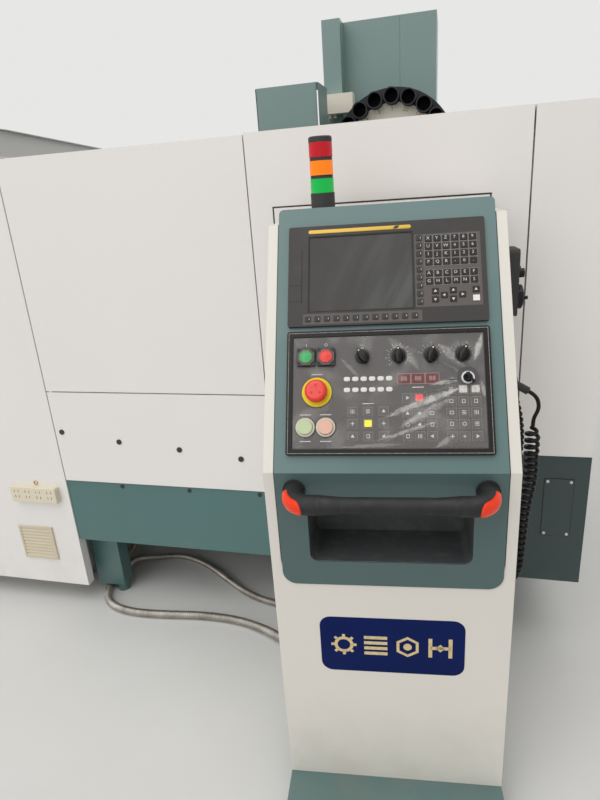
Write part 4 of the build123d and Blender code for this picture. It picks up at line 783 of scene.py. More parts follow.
@dataclass(frozen=True)
class RibbedSleeve(Finish):
    """A conduit's metal sleeve, dusty and rusty in patches."""

    rust: Colour = (0.27, 0.235, 0.20)
    bright: Colour = (0.52, 0.49, 0.45)

    def paint(self, graph: Graph) -> object:
        """Dust and rust-brown tones with small bright specks."""
        dust = graph.step(graph.noise(0.06, 5.0, rough=0.7), 0.35, 0.7)
        speck = graph.step(graph.noise(5 * MM, 3.0), 0.55, 0.7)
        brown = graph.mix(dust, self.colour, self.rust)
        return graph.mix(graph.math("MULTIPLY", speck, 0.4), brown, self.bright)


SHEET_WHITE = dict(
    colour=(0.815, 0.790, 0.775), roughness=0.38, rounding=1.2 * MM, coat=0.1, mottle=0.012,
    mottle_size=0.9,
)
WHITE = SheetPaint("white_sheet_paint", **SHEET_WHITE)
SCORED_WHITE = ScoredPaint("scored_white_paint", **SHEET_WHITE)
CONSOLE_WHITE = ConsolePaint(
    "console_white_paint", (0.715, 0.685, 0.630), 0.36, rounding=1.2 * MM, coat=0.1,
    mottle=0.015, mottle_size=0.7,
)
DUST_ON_TEAL: Colour = (0.20, 0.19, 0.16)
SPRAYED_TEAL = dict(rounding=1.0 * MM, coat=0.15, dust=DUST_ON_TEAL, dust_share=0.25)
TEAL = SheetPaint("teal_sheet_paint", (0.072, 0.162, 0.158), 0.42, mottle=0.04, mottle_size=0.5,
                  **SPRAYED_TEAL)
# The right skirt's teal, darkened as painted shade.
SHADED_TEAL = OutlinedPaint("shaded_teal_sheet_paint", (0.026, 0.050, 0.050), 0.42, mottle=0.04,
                          mottle_size=0.5, **SPRAYED_TEAL)
FASCIA_TEAL = FasciaPaint("fascia_teal_paint", (0.098, 0.174, 0.172), 0.40, mottle=0.03,
                          mottle_size=0.4, **SPRAYED_TEAL)
FOOT_TEAL = SheetPaint("foot_teal_paint", (0.098, 0.174, 0.168), 0.45, rounding=1.0 * MM,
                       coat=0.1, mottle_size=0.2, dust=DUST_ON_TEAL, dust_share=0.30)
TOWER_TEAL = SheetPaint("tower_teal_paint", (0.220, 0.318, 0.300), 0.46, rounding=1.0 * MM,
                        coat=0.05, mottle=0.03, mottle_size=0.5)
TEAL_CASTING = Casting("teal_casting", (0.075, 0.145, 0.138), 0.5, relief=0.08 * MM,
                       rounding=2 * MM, mottle=0.1)
GREY_SHEET = SheetPaint("pale_grey_sheet", (0.50, 0.51, 0.49), 0.42, rounding=1 * MM)
PAN_SHEET = SheetPaint("chip_pan_sheet", (0.30, 0.31, 0.30), 0.4, metallic=0.6,
                       rounding=0.6 * MM, mottle=0.2)
TABLE_IRON = GroundMetal("ground_table_iron", (0.36, 0.36, 0.355), 0.38, metallic=0.9,
                         relief=0.02 * MM, rounding=0.8 * MM)
TOOL_STEEL = GroundMetal("tool_steel", (0.55, 0.55, 0.54), 0.28, metallic=1.0, rounding=0.5 * MM)
SCREW_STEEL = GroundMetal("screw_steel", (0.55, 0.55, 0.55), 0.3, metallic=1.0)
HOOK_BRASS = GroundMetal("hook_brass", (0.62, 0.44, 0.14), 0.3, metallic=1.0)
SLEEVE = RibbedSleeve("conduit_sleeve", (0.44, 0.42, 0.39), 0.36, metallic=0.7, relief=0.02 * MM)

POCKET_BLACK = Moulding("pocket_black", (0.010, 0.010, 0.011), 0.42, rounding=1 * MM, shine=0.2)
CREAM = Moulding("cream_plastic", (0.66, 0.59, 0.44), 0.42, rounding=0.5 * MM)
BRIGHT_CREAM = Moulding("bright_cream", (0.86, 0.81, 0.69), 0.42, rounding=0.5 * MM)
VENT_BEIGE = Moulding("vent_beige", (0.60, 0.53, 0.40), 0.5, rounding=0.3 * MM)
BLACK = Moulding("black_plastic", (0.006, 0.005, 0.006), 0.45, relief=0.02 * MM,
                 rounding=0.5 * MM, shine=0.15)
KNOB_BLACK = Moulding("knob_black", (0.006, 0.006, 0.007), 0.24, rounding=0.8 * MM, shine=0.25)
CORD_BLACK = Moulding("cord_black", (0.007, 0.006, 0.006), 0.38, shine=0.2)
RIM_BROWN = Moulding("collar_rim_brown", (0.095, 0.065, 0.050), 0.3, rounding=0.5 * MM)
BEZEL = BezelMoulding("display_moulding", (0.046, 0.041, 0.042), 0.42, relief=0.02 * MM,
                      rounding=0.5 * MM, shine=0.25)
PANEL = PanelMoulding("operator_panel_moulding", (0.010, 0.009, 0.009), 0.38,
                      rounding=0.5 * MM, shine=0.25)
SCREEN = Window("display_window", (0.042, 0.040, 0.039), 0.35, relief=0.004 * MM, shine=0.25)
HANDLE_RUBBER = Moulding("handle_rubber", (0.016, 0.016, 0.017), 0.58, relief=0.06 * MM,
                         grain=0.7 * MM, mottle=0.25, mottle_size=0.04, rounding=1 * MM,
                         shine=0.35)
CAP_ORANGE = Moulding("handle_cap_orange", (0.88, 0.042, 0.006), 0.20, relief=0.002 * MM,
                      shine=0.35)
STOP_RED = Moulding("emergency_red", (0.80, 0.030, 0.018), 0.26, coat=0.3)

STACK_LENS = dict(
    roughness=0.22, centre=tuple(STACK_LIGHT.xy), ribs=40, clear=0.25, relief=0.25 * MM, shine=0.25
)
RED_LENS = Lens("red_lens", (0.60, 0.004, 0.016), glow=0.16, **STACK_LENS)
AMBER_LENS = Lens("amber_lens", (0.95, 0.235, 0.002), glow=0.32, **STACK_LENS)
GREEN_LENS = Lens("green_lens", (0.002, 0.46, 0.070), glow=0.30, **STACK_LENS)
CAP_GREEN = Lens("green_cap", (0.045, 0.42, 0.13), 0.28, clear=0.1, glow=0.04)
CAP_RED = Lens("red_cap", (0.80, 0.045, 0.035), 0.28, clear=0.1, glow=0.05)
CAP_PALE = Lens("pale_green_cap", (0.52, 0.60, 0.36), 0.35, clear=0.1, glow=0.02)
CAP_PINK = Lens("pink_cap", (0.78, 0.46, 0.36), 0.35, clear=0.1, glow=0.02)
LAMP_WHITE = Lens("lamp_white", (0.78, 0.77, 0.74), 0.35, clear=0.1, glow=0.05)
KEY_YELLOW = Lens("lit_yellow_key", (0.80, 0.72, 0.03), 0.35, glow=0.35)
KEY_RED = Lens("lit_red_lamp", (0.85, 0.06, 0.07), 0.35, glow=0.5)
CLEAR_FILM = Film("clear_film", (0.80, 0.78, 0.75), 0.12, coat=0.5, relief=1.0 * MM)

STOP_MARK = Finish("emergency_mark", (0.48, 0.020, 0.012), 0.4)
PRINT_WHITE = Finish("print_white", (0.62, 0.60, 0.57), 0.5, mottle=0.2, mottle_size=4 * MM)
PRINT_FAINT = Finish("print_faint", (0.30, 0.29, 0.28), 0.5, mottle=0.3, mottle_size=5 * MM)
FIGURE_ORANGE = Finish("figure_orange", (0.55, 0.17, 0.05), 0.5)
WINDOW_PINK = Finish("window_outline_pink", (0.50, 0.24, 0.22), 0.4)
LABEL_BLUE = Finish("label_blue", (0.003, 0.011, 0.086), 0.55, mottle=0.1, shine=0.1)
LABEL_GOLD = Finish("label_gold", (0.66, 0.52, 0.27), 0.42, mottle=0.12, mottle_size=6 * MM)
BAR_YELLOW = Finish("bar_yellow", (0.74, 0.46, 0.035), 0.35, coat=0.2)
FLOOR_PALE = Finish("studio_floor_paint", (0.62, 0.62, 0.61), 0.7, mottle=0.01, relief=0.0)

WEARERS: tuple[tuple[Finish, str], ...] = (
    (WHITE, "left_cover left_end_wall lower_panel loading_door right_cover rear_guard"),
    (SCORED_WHITE, "centre_panel"),
    (CONSOLE_WHITE, "console_body"),
    (TEAL, "front_skirt guard_frame"),
    (SHADED_TEAL, "right_skirt"),
    (FASCIA_TEAL, "console_fascia"),
    (FOOT_TEAL, "console_foot"),
    (TOWER_TEAL, "tower_cover head_cover"),
    (TEAL_CASTING, "bed_frame column head saddle magazine_frame"),
    (GREY_SHEET, "electrical_cabinet"),
    (PAN_SHEET, "chip_pan"),
    (TABLE_IRON, "work_table"),
    (TOOL_STEEL, "clamp_jaws arm_shaft change_arm spindle"),
    (POCKET_BLACK, "magazine_disc"),
    (BRIGHT_CREAM, "number_ring terminal_box"),
    (CREAM, "socket_strip"),
    (VENT_BEIGE, "vent_grille"),
    (BLACK, "panel_plugs beacon_base pendant_body"),
    (KNOB_BLACK, "pendant_wheel axis_knob step_knob key_switch"),
    (BEZEL, "display_bezel"),
    (PANEL, "operator_panel"),
    (SCREEN, "screen"),
    (HANDLE_RUBBER, "handle_bar"),
    (CAP_ORANGE, "handle_caps"),
    (RED_LENS, "beacon_red"),
    (AMBER_LENS, "beacon_amber"),
    (GREEN_LENS, "beacon_green"),
    (CAP_PALE, "cycle_button"),
    (CAP_PINK, "hold_button"),
    (STOP_RED, "emergency_stop"),
)
DRESS: dict[str, Finish] = {node: finish for finish, nodes in WEARERS for node in nodes.split()}


class Bench:
    """The modelling bench: operators that start, shape, copy, join and place one piece."""

    @staticmethod
    def only(piece: Piece) -> None:
        """Selects one piece and makes it the active one."""
        bpy.ops.object.select_all(action="DESELECT")
        piece.select_set(True)
        bpy.context.view_layer.objects.active = piece

    @staticmethod
    def edit(
        piece: Piece, kind: str, test: Callable[[object], bool],
        operate: Callable[[], object],
    ) -> None:
        """Picks vertices, edges or faces in edit mode and runs an operator on them.

        Args:
            piece: the object to shape.
            kind: VERT, EDGE or FACE.
            test: says of each element whether it is picked.
            operate: the call that runs on what is picked.
        """
        Bench.only(piece)
        bpy.ops.object.mode_set(mode="EDIT")
        bpy.ops.mesh.select_mode(type=kind)
        bpy.ops.mesh.select_all(action="DESELECT")
        mesh = bmesh.from_edit_mesh(piece.data)
        elements = {"VERT": mesh.verts, "EDGE": mesh.edges, "FACE": mesh.faces}[kind]
        for element in elements:
            if test(element):
                element.select_set(True)
        bmesh.update_edit_mesh(piece.data)
        operate()
        bpy.ops.object.mode_set(mode="OBJECT")

    @staticmethod
    def settle(piece: Piece, name: str) -> Piece:
        """Names a new primitive and puts its place and size into its mesh."""
        Bench.only(piece)
        bpy.ops.object.transform_apply(location=True, rotation=True, scale=True)
        piece.name = name
        piece.data.name = name
        return piece

    @staticmethod
    def start(
        name: str, add: Callable[..., object], scale: Point = (1.0, 1.0, 1.0), **sizes: object
    ) -> Piece:
        """Adds a primitive with nothing else selected.

        Args:
            name: the piece's name.
            add: the operator that adds it.
            scale: how far it is stretched along its axes.
            sizes: the operator's own settings.

        Returns:
            The primitive, with its place and size in its mesh.
        """
        bpy.ops.object.select_all(action="DESELECT")
        add(**sizes)
        piece = bpy.context.object
        piece.scale = scale
        return Bench.settle(piece, name)

    @staticmethod
    def slab(
        name: str, width: float, height: float, thick: float, corner: float = 0.0,
        ease: float = 0.0,
    ) -> Piece:
        """A plate that lies on the origin, rounded at its corners and eased on its top edge.

        Args:
            name: the piece's name.
            width: its size along X.
            height: its size along Y.
            thick: its size along Z.
            corner: the radius of its upright edges.
            ease: the radius of its top edges.

        Returns:
            The new piece.
        """
        piece = Bench.start(
            name, bpy.ops.mesh.primitive_cube_add, (width, height, thick), size=1.0,
            location=(0, 0, thick / 2),
        )
        if corner > 0:
            Bench.edit(
                piece, "EDGE",
                lambda e: abs(e.verts[0].co.z - e.verts[1].co.z) > thick / 2,
                lambda: bpy.ops.mesh.bevel(offset=corner, segments=6, affect="EDGES"),
            )
        if ease > 0:
            Bench.edit(
                piece, "EDGE",
                lambda e: all(v.co.z > thick * 0.99 for v in e.verts) and e.is_manifold
                and any(abs(f.normal.z) < 0.5 for f in e.link_faces),
                lambda: bpy.ops.mesh.bevel(offset=ease, segments=2, affect="EDGES"),
            )
        return piece

    @staticmethod
    def disc(name: str, radius: float, thick: float, sides: int = 32, ease: float = 0.0) -> Piece:
        """A round or many-sided plate on the origin, eased on its top edge."""
        piece = Bench.start(
            name, bpy.ops.mesh.primitive_cylinder_add, vertices=sides, radius=radius, depth=thick,
            location=(0, 0, thick / 2),
        )
        if ease > 0:
            Bench.edit(
                piece, "EDGE", lambda e: all(v.co.z > thick * 0.99 for v in e.verts),
                lambda: bpy.ops.mesh.bevel(offset=ease, segments=3, affect="EDGES"),
            )
        return piece

    @staticmethod
    def hollow(piece: Piece, wall: float, thick: float) -> Piece:
        """Opens a plate into a ring or a frame with a wall."""
        def pierce() -> None:
            bpy.ops.mesh.inset(thickness=wall, use_boundary=True, use_even_offset=True)
            bpy.ops.mesh.bridge_edge_loops()

        Bench.edit(
            piece, "FACE",
            lambda f: abs(f.normal.z) > 0.99 and min(
                abs(f.calc_center_median().z), abs(f.calc_center_median().z - thick)
            ) < 1e-7,
            pierce,
        )
        return piece

    @staticmethod
    def ring(name: str, radius: float, wall: float, thick: float, sides: int = 32) -> Piece:
        """A flat ring on the origin."""
        return Bench.hollow(Bench.disc(name, radius, thick, sides), wall, thick)

    @staticmethod
    def frame(name: str, width: float, height: float, wall: float, thick: float) -> Piece:
        """A flat rectangular frame on the origin."""
        return Bench.hollow(Bench.slab(name, width, height, thick), wall, thick)

    @staticmethod
    def narrow(piece: Piece, test: Callable[[object], bool], share: float) -> None:
        """Narrows the picked vertices along Y, towards the middle."""
        Bench.edit(
            piece, "VERT", test,
            lambda: bpy.ops.transform.resize(value=(1.0, share, 1.0), center_override=(0, 0, 0)),
        )

    @staticmethod
    def words(name: str, text: str, height: float, thick: float) -> Piece:
        """Generic letters or figures, centred on the origin and made a mesh."""
        bpy.ops.object.select_all(action="DESELECT")
        bpy.ops.object.text_add()
        piece = bpy.context.object
        piece.data.body = text
        piece.data.size = height
        piece.data.extrude = thick / 2
        piece.data.resolution_u = 2
        piece.data.align_x = "CENTER"
        piece.data.align_y = "CENTER"
        bpy.ops.object.convert(target="MESH")
        piece = bpy.context.object
        piece.data.transform(Matrix.Translation((0, 0, thick / 2)))
        return Bench.settle(piece, name)

    @staticmethod
    def put(piece: Piece, matrix: Matrix) -> Piece:
        """Moves a piece's mesh, and leaves its object at the origin."""
        piece.data.transform(matrix)
        piece.data.update()
        return piece

    @staticmethod
    def copies(piece: Piece, matrices: Iterable[Matrix]) -> list[Piece]:
        """Copies a piece once for each place, and takes the pattern piece away."""
        made = []
        for matrix in matrices:
            copy = piece.copy()
            copy.data = piece.data.copy()
            bpy.context.collection.objects.link(copy)
            made.append(Bench.put(copy, matrix))
        bpy.data.objects.remove(piece)
        return made

    @staticmethod
    def join(name: str, pieces: Sequence[Piece]) -> Piece:
        """Joins pieces of one finish into one."""
        bpy.ops.object.select_all(action="DESELECT")
        for piece in pieces:
            piece.select_set(True)
        bpy.context.view_layer.objects.active = pieces[0]
        if len(pieces) > 1:
            bpy.ops.object.join()
        pieces[0].name = name
        pieces[0].data.name = name
        return pieces[0]

    @staticmethod
    def dress(
        piece: Piece, finish: Finish, slot: str = "", body: str = "root",
        smooth: float = 35.0,
    ) -> Piece:
        """Gives a piece its finish and the body it rides on.

        Args:
            piece: the finished object.
            finish: its finish.
            slot: the record's material slot, if it has one for the piece; not used.
            body: the CAD body that it moves with.
            smooth: edges that turn less than this many degrees are shaded smooth.

        Returns:
            The same piece.
        """
        piece.data.materials.clear()
        piece.data.materials.append(finish.material())
        Bench.only(piece)
        bpy.ops.object.shade_smooth_by_angle(angle=math.radians(smooth))
        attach(piece, body)
        logger.info("%s rides on %s, %s faces", piece.name, body, len(piece.data.polygons))
        return piece

    @staticmethod
    def spread(
        name: str, pattern: Piece, seats: Iterable[Seat], finish: Finish,
        slot: str = "black_plastic",
    ) -> Piece:
        """Copies a piece to every seat, and joins and dresses the copies.

        Args:
            name: the joined piece's name.
            pattern: the piece that is copied and taken away.
            seats: where the copies stand.
            finish: their finish.
            slot: the record's material slot.

        Returns:
            The joined piece.
        """
        made = Bench.copies(pattern, [seat.matrix() for seat in seats])
        return Bench.dress(Bench.join(name, made), finish, slot)


class Line:
    """Points read from a route's smooth spline, and the frames along them."""

    def __init__(self, route: Sequence[Vector]) -> None:
        """Reads the spline of a route's control points."""
        curve = Cord.spline("route", route, 24)
        piece = bpy.data.objects.new("route", curve)
        bpy.context.collection.objects.link(piece)
        bpy.context.view_layer.update()
        mesh = bpy.data.meshes.new_from_object(
            piece.evaluated_get(bpy.context.evaluated_depsgraph_get())
        )
        self.points = [vertex.co.copy() for vertex in mesh.vertices]
        bpy.data.objects.remove(piece)
        bpy.data.meshes.remove(mesh)
        self.lengths = [0.0]
        for before, after in zip(self.points, self.points[1:]):
            self.lengths.append(self.lengths[-1] + (after - before).length)

    @property
    def length(self) -> float:
        """The spline's own length."""
        return self.lengths[-1]

    def at(self, distance: float) -> tuple[Vector, Vector]:
        """The point and the direction at a distance along the line."""
        index = min(bisect_left(self.lengths, distance, 1), len(self.lengths) - 1)
        before, after = self.points[index - 1], self.points[index]
        span = max(self.lengths[index] - self.lengths[index - 1], 1e-9)
        share = min(max((distance - self.lengths[index - 1]) / span, 0.0), 1.0)
        return before.lerp(after, share), (after - before).normalized()

    def frames(self, step: float) -> list[tuple[float, Vector, Vector, Vector]]:
        """Evenly spaced points with two directions across the line that never twist.

        Args:
            step: about how far apart the points lie.

        Returns:
            Distance, point, first and second direction across, for each point.
        """
        count = max(2, round(self.length / step))
        first, direction = self.at(0.0)
        side = direction.orthogonal().normalized()
        result = []
        for n in range(count + 1):
            distance = self.length * n / count
            point, direction = self.at(distance)
            side = (side - direction * side.dot(direction)).normalized()
            result.append((distance, point, side, direction.cross(side)))
        return result


class Cord:
    """Free cords: smooth splines along their routes."""

    @staticmethod
    def spline(name: str, points: Sequence[Vector], resolution: int) -> bpy.types.Curve:
        """A curve with one open spline of order three through its end points."""
        curve = bpy.data.curves.new(name, "CURVE")
        curve.dimensions = "3D"
        curve.resolution_u = resolution
        curve.render_resolution_u = resolution
        spline = curve.splines.new("NURBS")
        spline.points.add(len(points) - 1)
        for control, point in zip(spline.points, points):
            control.co = (*point, 1.0)
        spline.order_u = 3
        spline.use_endpoint_u = True
        return curve


@dataclass
class PendantCord:
    """The pendant's curly cord: a straight lead, one long coil and a straight tail."""

    diameter: float = 8.0 * MM
    outer: float = 32.0 * MM
    pitch: float = 14.5 * MM
    steps_per_turn: int = 14

    def routes(self) -> tuple[list[Vector], list[Vector], list[Vector]]:
        """The control points of the lead, the coil's middle line and the tail."""
        lead = [
            (274, 120, 1001), (288, 120, 992.5), (296, 120, 978), (297, 119, 961),
            (288, 118, 944), (288, 118, 926),
        ]
        coil = [
            (288, 118, 926), (288, 118, 870), (291, 119, 808), (280, 118, 746), (276, 117, 672),
            (273, 119, 590), (271, 160, 534), (270, 226, 512), (270, 292, 534), (273, 333, 590),
            (288, 335, 660), (304, 336, 728), (311, 337, 798), (303, 338, 868), (284, 339, 924),
            (268, 340, 968), (268, 340, 1012),
        ]
        tail = [(268, 340, 1012), (268, 340, 1040), (268, 340, 1070)]
        return tuple(
            [CONSOLE.point(x * MM, y * MM, z * MM) for x, y, z in route]
            for route in (lead, coil, tail)
        )

    def build(self) -> Piece:
        """Winds the coil and lays the whole cord as one spline."""
        lead, coil, tail = self.routes()
        line = Line(coil)
        turns = round(line.length / self.pitch)
        radius = (self.outer - self.diameter) / 2
        frames = line.frames(line.length / (turns * self.steps_per_turn))
        ramp = line.length / turns
        helix = []
        for distance, point, side, other in frames:
            angle = 2 * math.pi * turns * distance / line.length
            reach = radius * min(1.0, distance / ramp, (line.length - distance) / ramp)
            helix.append(point + (side * math.cos(angle) + other * math.sin(angle)) * reach)
        points = lead[:-1] + helix + tail[1:]
        curve = Cord.spline("pendant_curly_cord", points, 3)
        curve.bevel_depth = self.diameter / 2
        curve.bevel_resolution = 2
        curve.use_fill_caps = True
        piece = bpy.data.objects.new("pendant_curly_cord", curve)
        bpy.context.collection.objects.link(piece)
        curve.materials.append(CORD_BLACK.material())
        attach(piece, "root")
        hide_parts("pendant_cord", "pendant_coil")
        return piece


@dataclass
class Conduit:
    """A metal-clad conduit that lies on the floor: a ribbed tube along a spline."""

    name: str
    node: str
    diameter: float
    route: list[Vector]
    pitch: float = 7.5 * MM
    rib_depth: float = 1.9 * MM
    sides: int = 22
    rings_per_rib: int = 7

    def build(self) -> Piece:
        """Lofts rings along the route, wide on each rib's crown and narrow between ribs."""
        line = Line(self.route)
        frames = line.frames(self.pitch / self.rings_per_rib)
        mesh = bpy.data.meshes.new(self.name)
        made = bmesh.new()
        before = None
        for distance, point, side, other in frames:
            wave = 0.5 - 0.5 * math.cos(2 * math.pi * distance / self.pitch)
            radius = self.diameter / 2 - self.rib_depth * (1 - wave**0.6)
            ring = [
                made.verts.new(
                    point + (side * math.cos(angle) + other * math.sin(angle)) * radius
                )
                for angle in (2 * math.pi * n / self.sides for n in range(self.sides))
            ]
            if before is None:
                made.faces.new(list(reversed(ring)))
            else:
                for n in range(self.sides):
                    after = (n + 1) % self.sides
                    made.faces.new((before[n], before[after], ring[after], ring[n]))
            before = ring
        made.faces.new(before)
        bmesh.ops.recalc_face_normals(made, faces=made.faces)
        made.to_mesh(mesh)
        made.free()
        piece = bpy.data.objects.new(self.name, mesh)
        bpy.context.collection.objects.link(piece)
        Bench.dress(piece, SLEEVE, "conduit_metal", smooth=60.0)
        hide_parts(self.node)
        path = [tuple(point) for _, point, _, _ in line.frames(6 * MM)]
        return piece


@dataclass
class FloorConduits:
    """The two conduits between the machine and the console's foot."""

    wide: float = 28.0 * MM
    narrow: float = 25.0 * MM

    def on_floor(self, points: Sequence[Point]) -> list[Vector]:
        """Route points given from the guard's front plane, in millimetres."""
        return [GUARD_FRONT.origin + Vector(point) * MM for point in points]

    def build(self) -> None:
        """Lays both conduits along the routes of their CAD tubes."""
        wide = self.on_floor([
            (-352, 570, 92), (-352, 450, 92), (-351, 325, 40), (-347, 200, 14.5),
            (-338, 78, 14.5), (-284, -6, 14.5), (-186, -38, 14.5), (-52, -32, 14.5),
            (90, -12, 14.5), (228, -14, 14.5), (340, -46, 16.5),
        ]) + [CONSOLE.point(x * MM, 480 * MM, 30 * MM) for x in (-347, -267)]
        narrow = self.on_floor([
            (-291, 155, 56), (-291, 208, 56), (-270, 258, 32), (-218, 297, 13),
            (-150, 318, 13), (-72, 306, 13), (22, 262, 13), (115, 195, 13), (204, 136, 13),
            (288, 100, 13), (380, 86, 13), (470, 95, 15), (530, 69, 23),
        ]) + [CONSOLE.point(-190 * MM, y * MM, 30 * MM) for y in (580, 520)]
        Conduit("bed_conduit", "conduit_a", self.wide, wide).build()
        Conduit("leg_conduit", "conduit_b", self.narrow, narrow, pitch=6.8 * MM).build()


@dataclass
class Display:
    """The display unit's key legends, function keys and yellow bar, placed in millimetres."""

    signs: str = "XYZ789UVW456IJK123PQR-0.ABCDEFGHLMNS"
    rows: tuple[float, ...] = (67, 50, 33, 16, -8, -25)
    columns: int = 6
    first_column: float = 88
    column_pitch: float = 17.5
    arrows: tuple[Point, ...] = (
        (98.8, -46, 90), (98.5, -63.4, 270), (116.1, -55, 180), (133.6, -45.5, 90),
        (133.5, -63.4, 270), (151.2, -55, 0), (177.5, -45.5, 90),
    )
    bezel_top: float = 8.0
    key_top: float = 9.6
    side_first: Place = (69, 69.8)
    side_pitch: float = 17.1
    side_count: int = 9
    foot_first: Place = (-158, -95)
    foot_pitch: float = 19.6
    foot_count: int = 12
    bar_middle: float = 97.0
    slash_lean: float = 4.0

    def key_places(self) -> list[Place]:
        """The letter keys, row by row from the top left."""
        return [
            (self.first_column + column * self.column_pitch, v)
            for v in self.rows for column in range(self.columns)
        ]

    def function_places(self) -> list[Place]:
        """The small keys beside the window and below it."""
        (side, top), (left, foot) = self.side_first, self.foot_first
        beside = [(side, top - n * self.side_pitch) for n in range(self.side_count)]
        return beside + [(left + n * self.foot_pitch, foot) for n in range(self.foot_count)]

    def function_keys(self) -> None:
        """Models the small black keys."""
        cap = Bench.slab("cap", 11.6 * MM, 11.2 * MM, 2.0 * MM, 1.2 * MM, 0.4 * MM)
        seats = [FACE.mm(u, v, self.bezel_top) for u, v in self.function_places()]
        Bench.spread("display_function_keys", cap, seats, BLACK)

    def legends(self) -> None:
        """Prints the letters, the arrows and the small keys' ticks."""
        marks = []
        for (u, v), sign in zip(self.key_places(), self.signs):
            letter = Bench.words("legend", sign, 9.5 * MM, INK)
            marks.append(Bench.put(letter, FACE.mm(u - 0.8, v + 0.6, self.key_top).matrix()))
        for u, v, angle in self.arrows:
            arrow = Bench.disc("legend", 3.6 * MM, INK, 3)
            turned = FACE.mm(u, v, self.key_top).matrix(math.radians(angle - 90))
            marks.append(Bench.put(arrow, turned))
        tick = Bench.slab("legend", 0.9 * MM, 4.2 * MM, INK)
        seats = [FACE.mm(u + 3.2, v, self.bezel_top + 2.0) for u, v in self.function_places()]
        marks += Bench.copies(tick, [seat.matrix() for seat in seats])
        Bench.dress(Bench.join("display_key_legends", marks), PRINT_WHITE, "black_plastic")

    def grid(self) -> None:
        """Outlines the letter keys on the moulding."""
        outline = Bench.frame("key_frame", 16.6 * MM, 16.0 * MM, 0.5 * MM, 0.15 * MM)
        seats = [FACE.mm(u, v, self.bezel_top) for u, v in self.key_places()]
        Bench.spread("display_key_grid", outline, seats, PRINT_FAINT)

    def bar(self) -> None:
        """The yellow bar above the window with its slanted black mark."""
        bar = Bench.slab("display_yellow_bar", 212 * MM, 8 * MM, 0.5 * MM, 3.6 * MM, 0.15 * MM)
        Bench.put(bar, FACE.mm(-52, self.bar_middle, self.bezel_top).matrix())
        Bench.dress(bar, BAR_YELLOW, "black_plastic")
        slash = Bench.slab("display_bar_slash", 9 * MM, 6.4 * MM, 0.2 * MM, 0.8 * MM)
        Bench.edit(
            slash, "VERT", lambda vertex: vertex.co.y > 0,
            lambda: bpy.ops.transform.translate(value=(self.slash_lean * MM, 0, 0)),
        )
        Bench.put(slash, FACE.mm(22, self.bar_middle, self.bezel_top + 0.5).matrix())
        Bench.dress(slash, BLACK, "black_plastic")

    def build(self) -> None:
        """Models all that the display unit carries."""
        self.legends()
        self.function_keys()
        self.grid()
        self.bar()


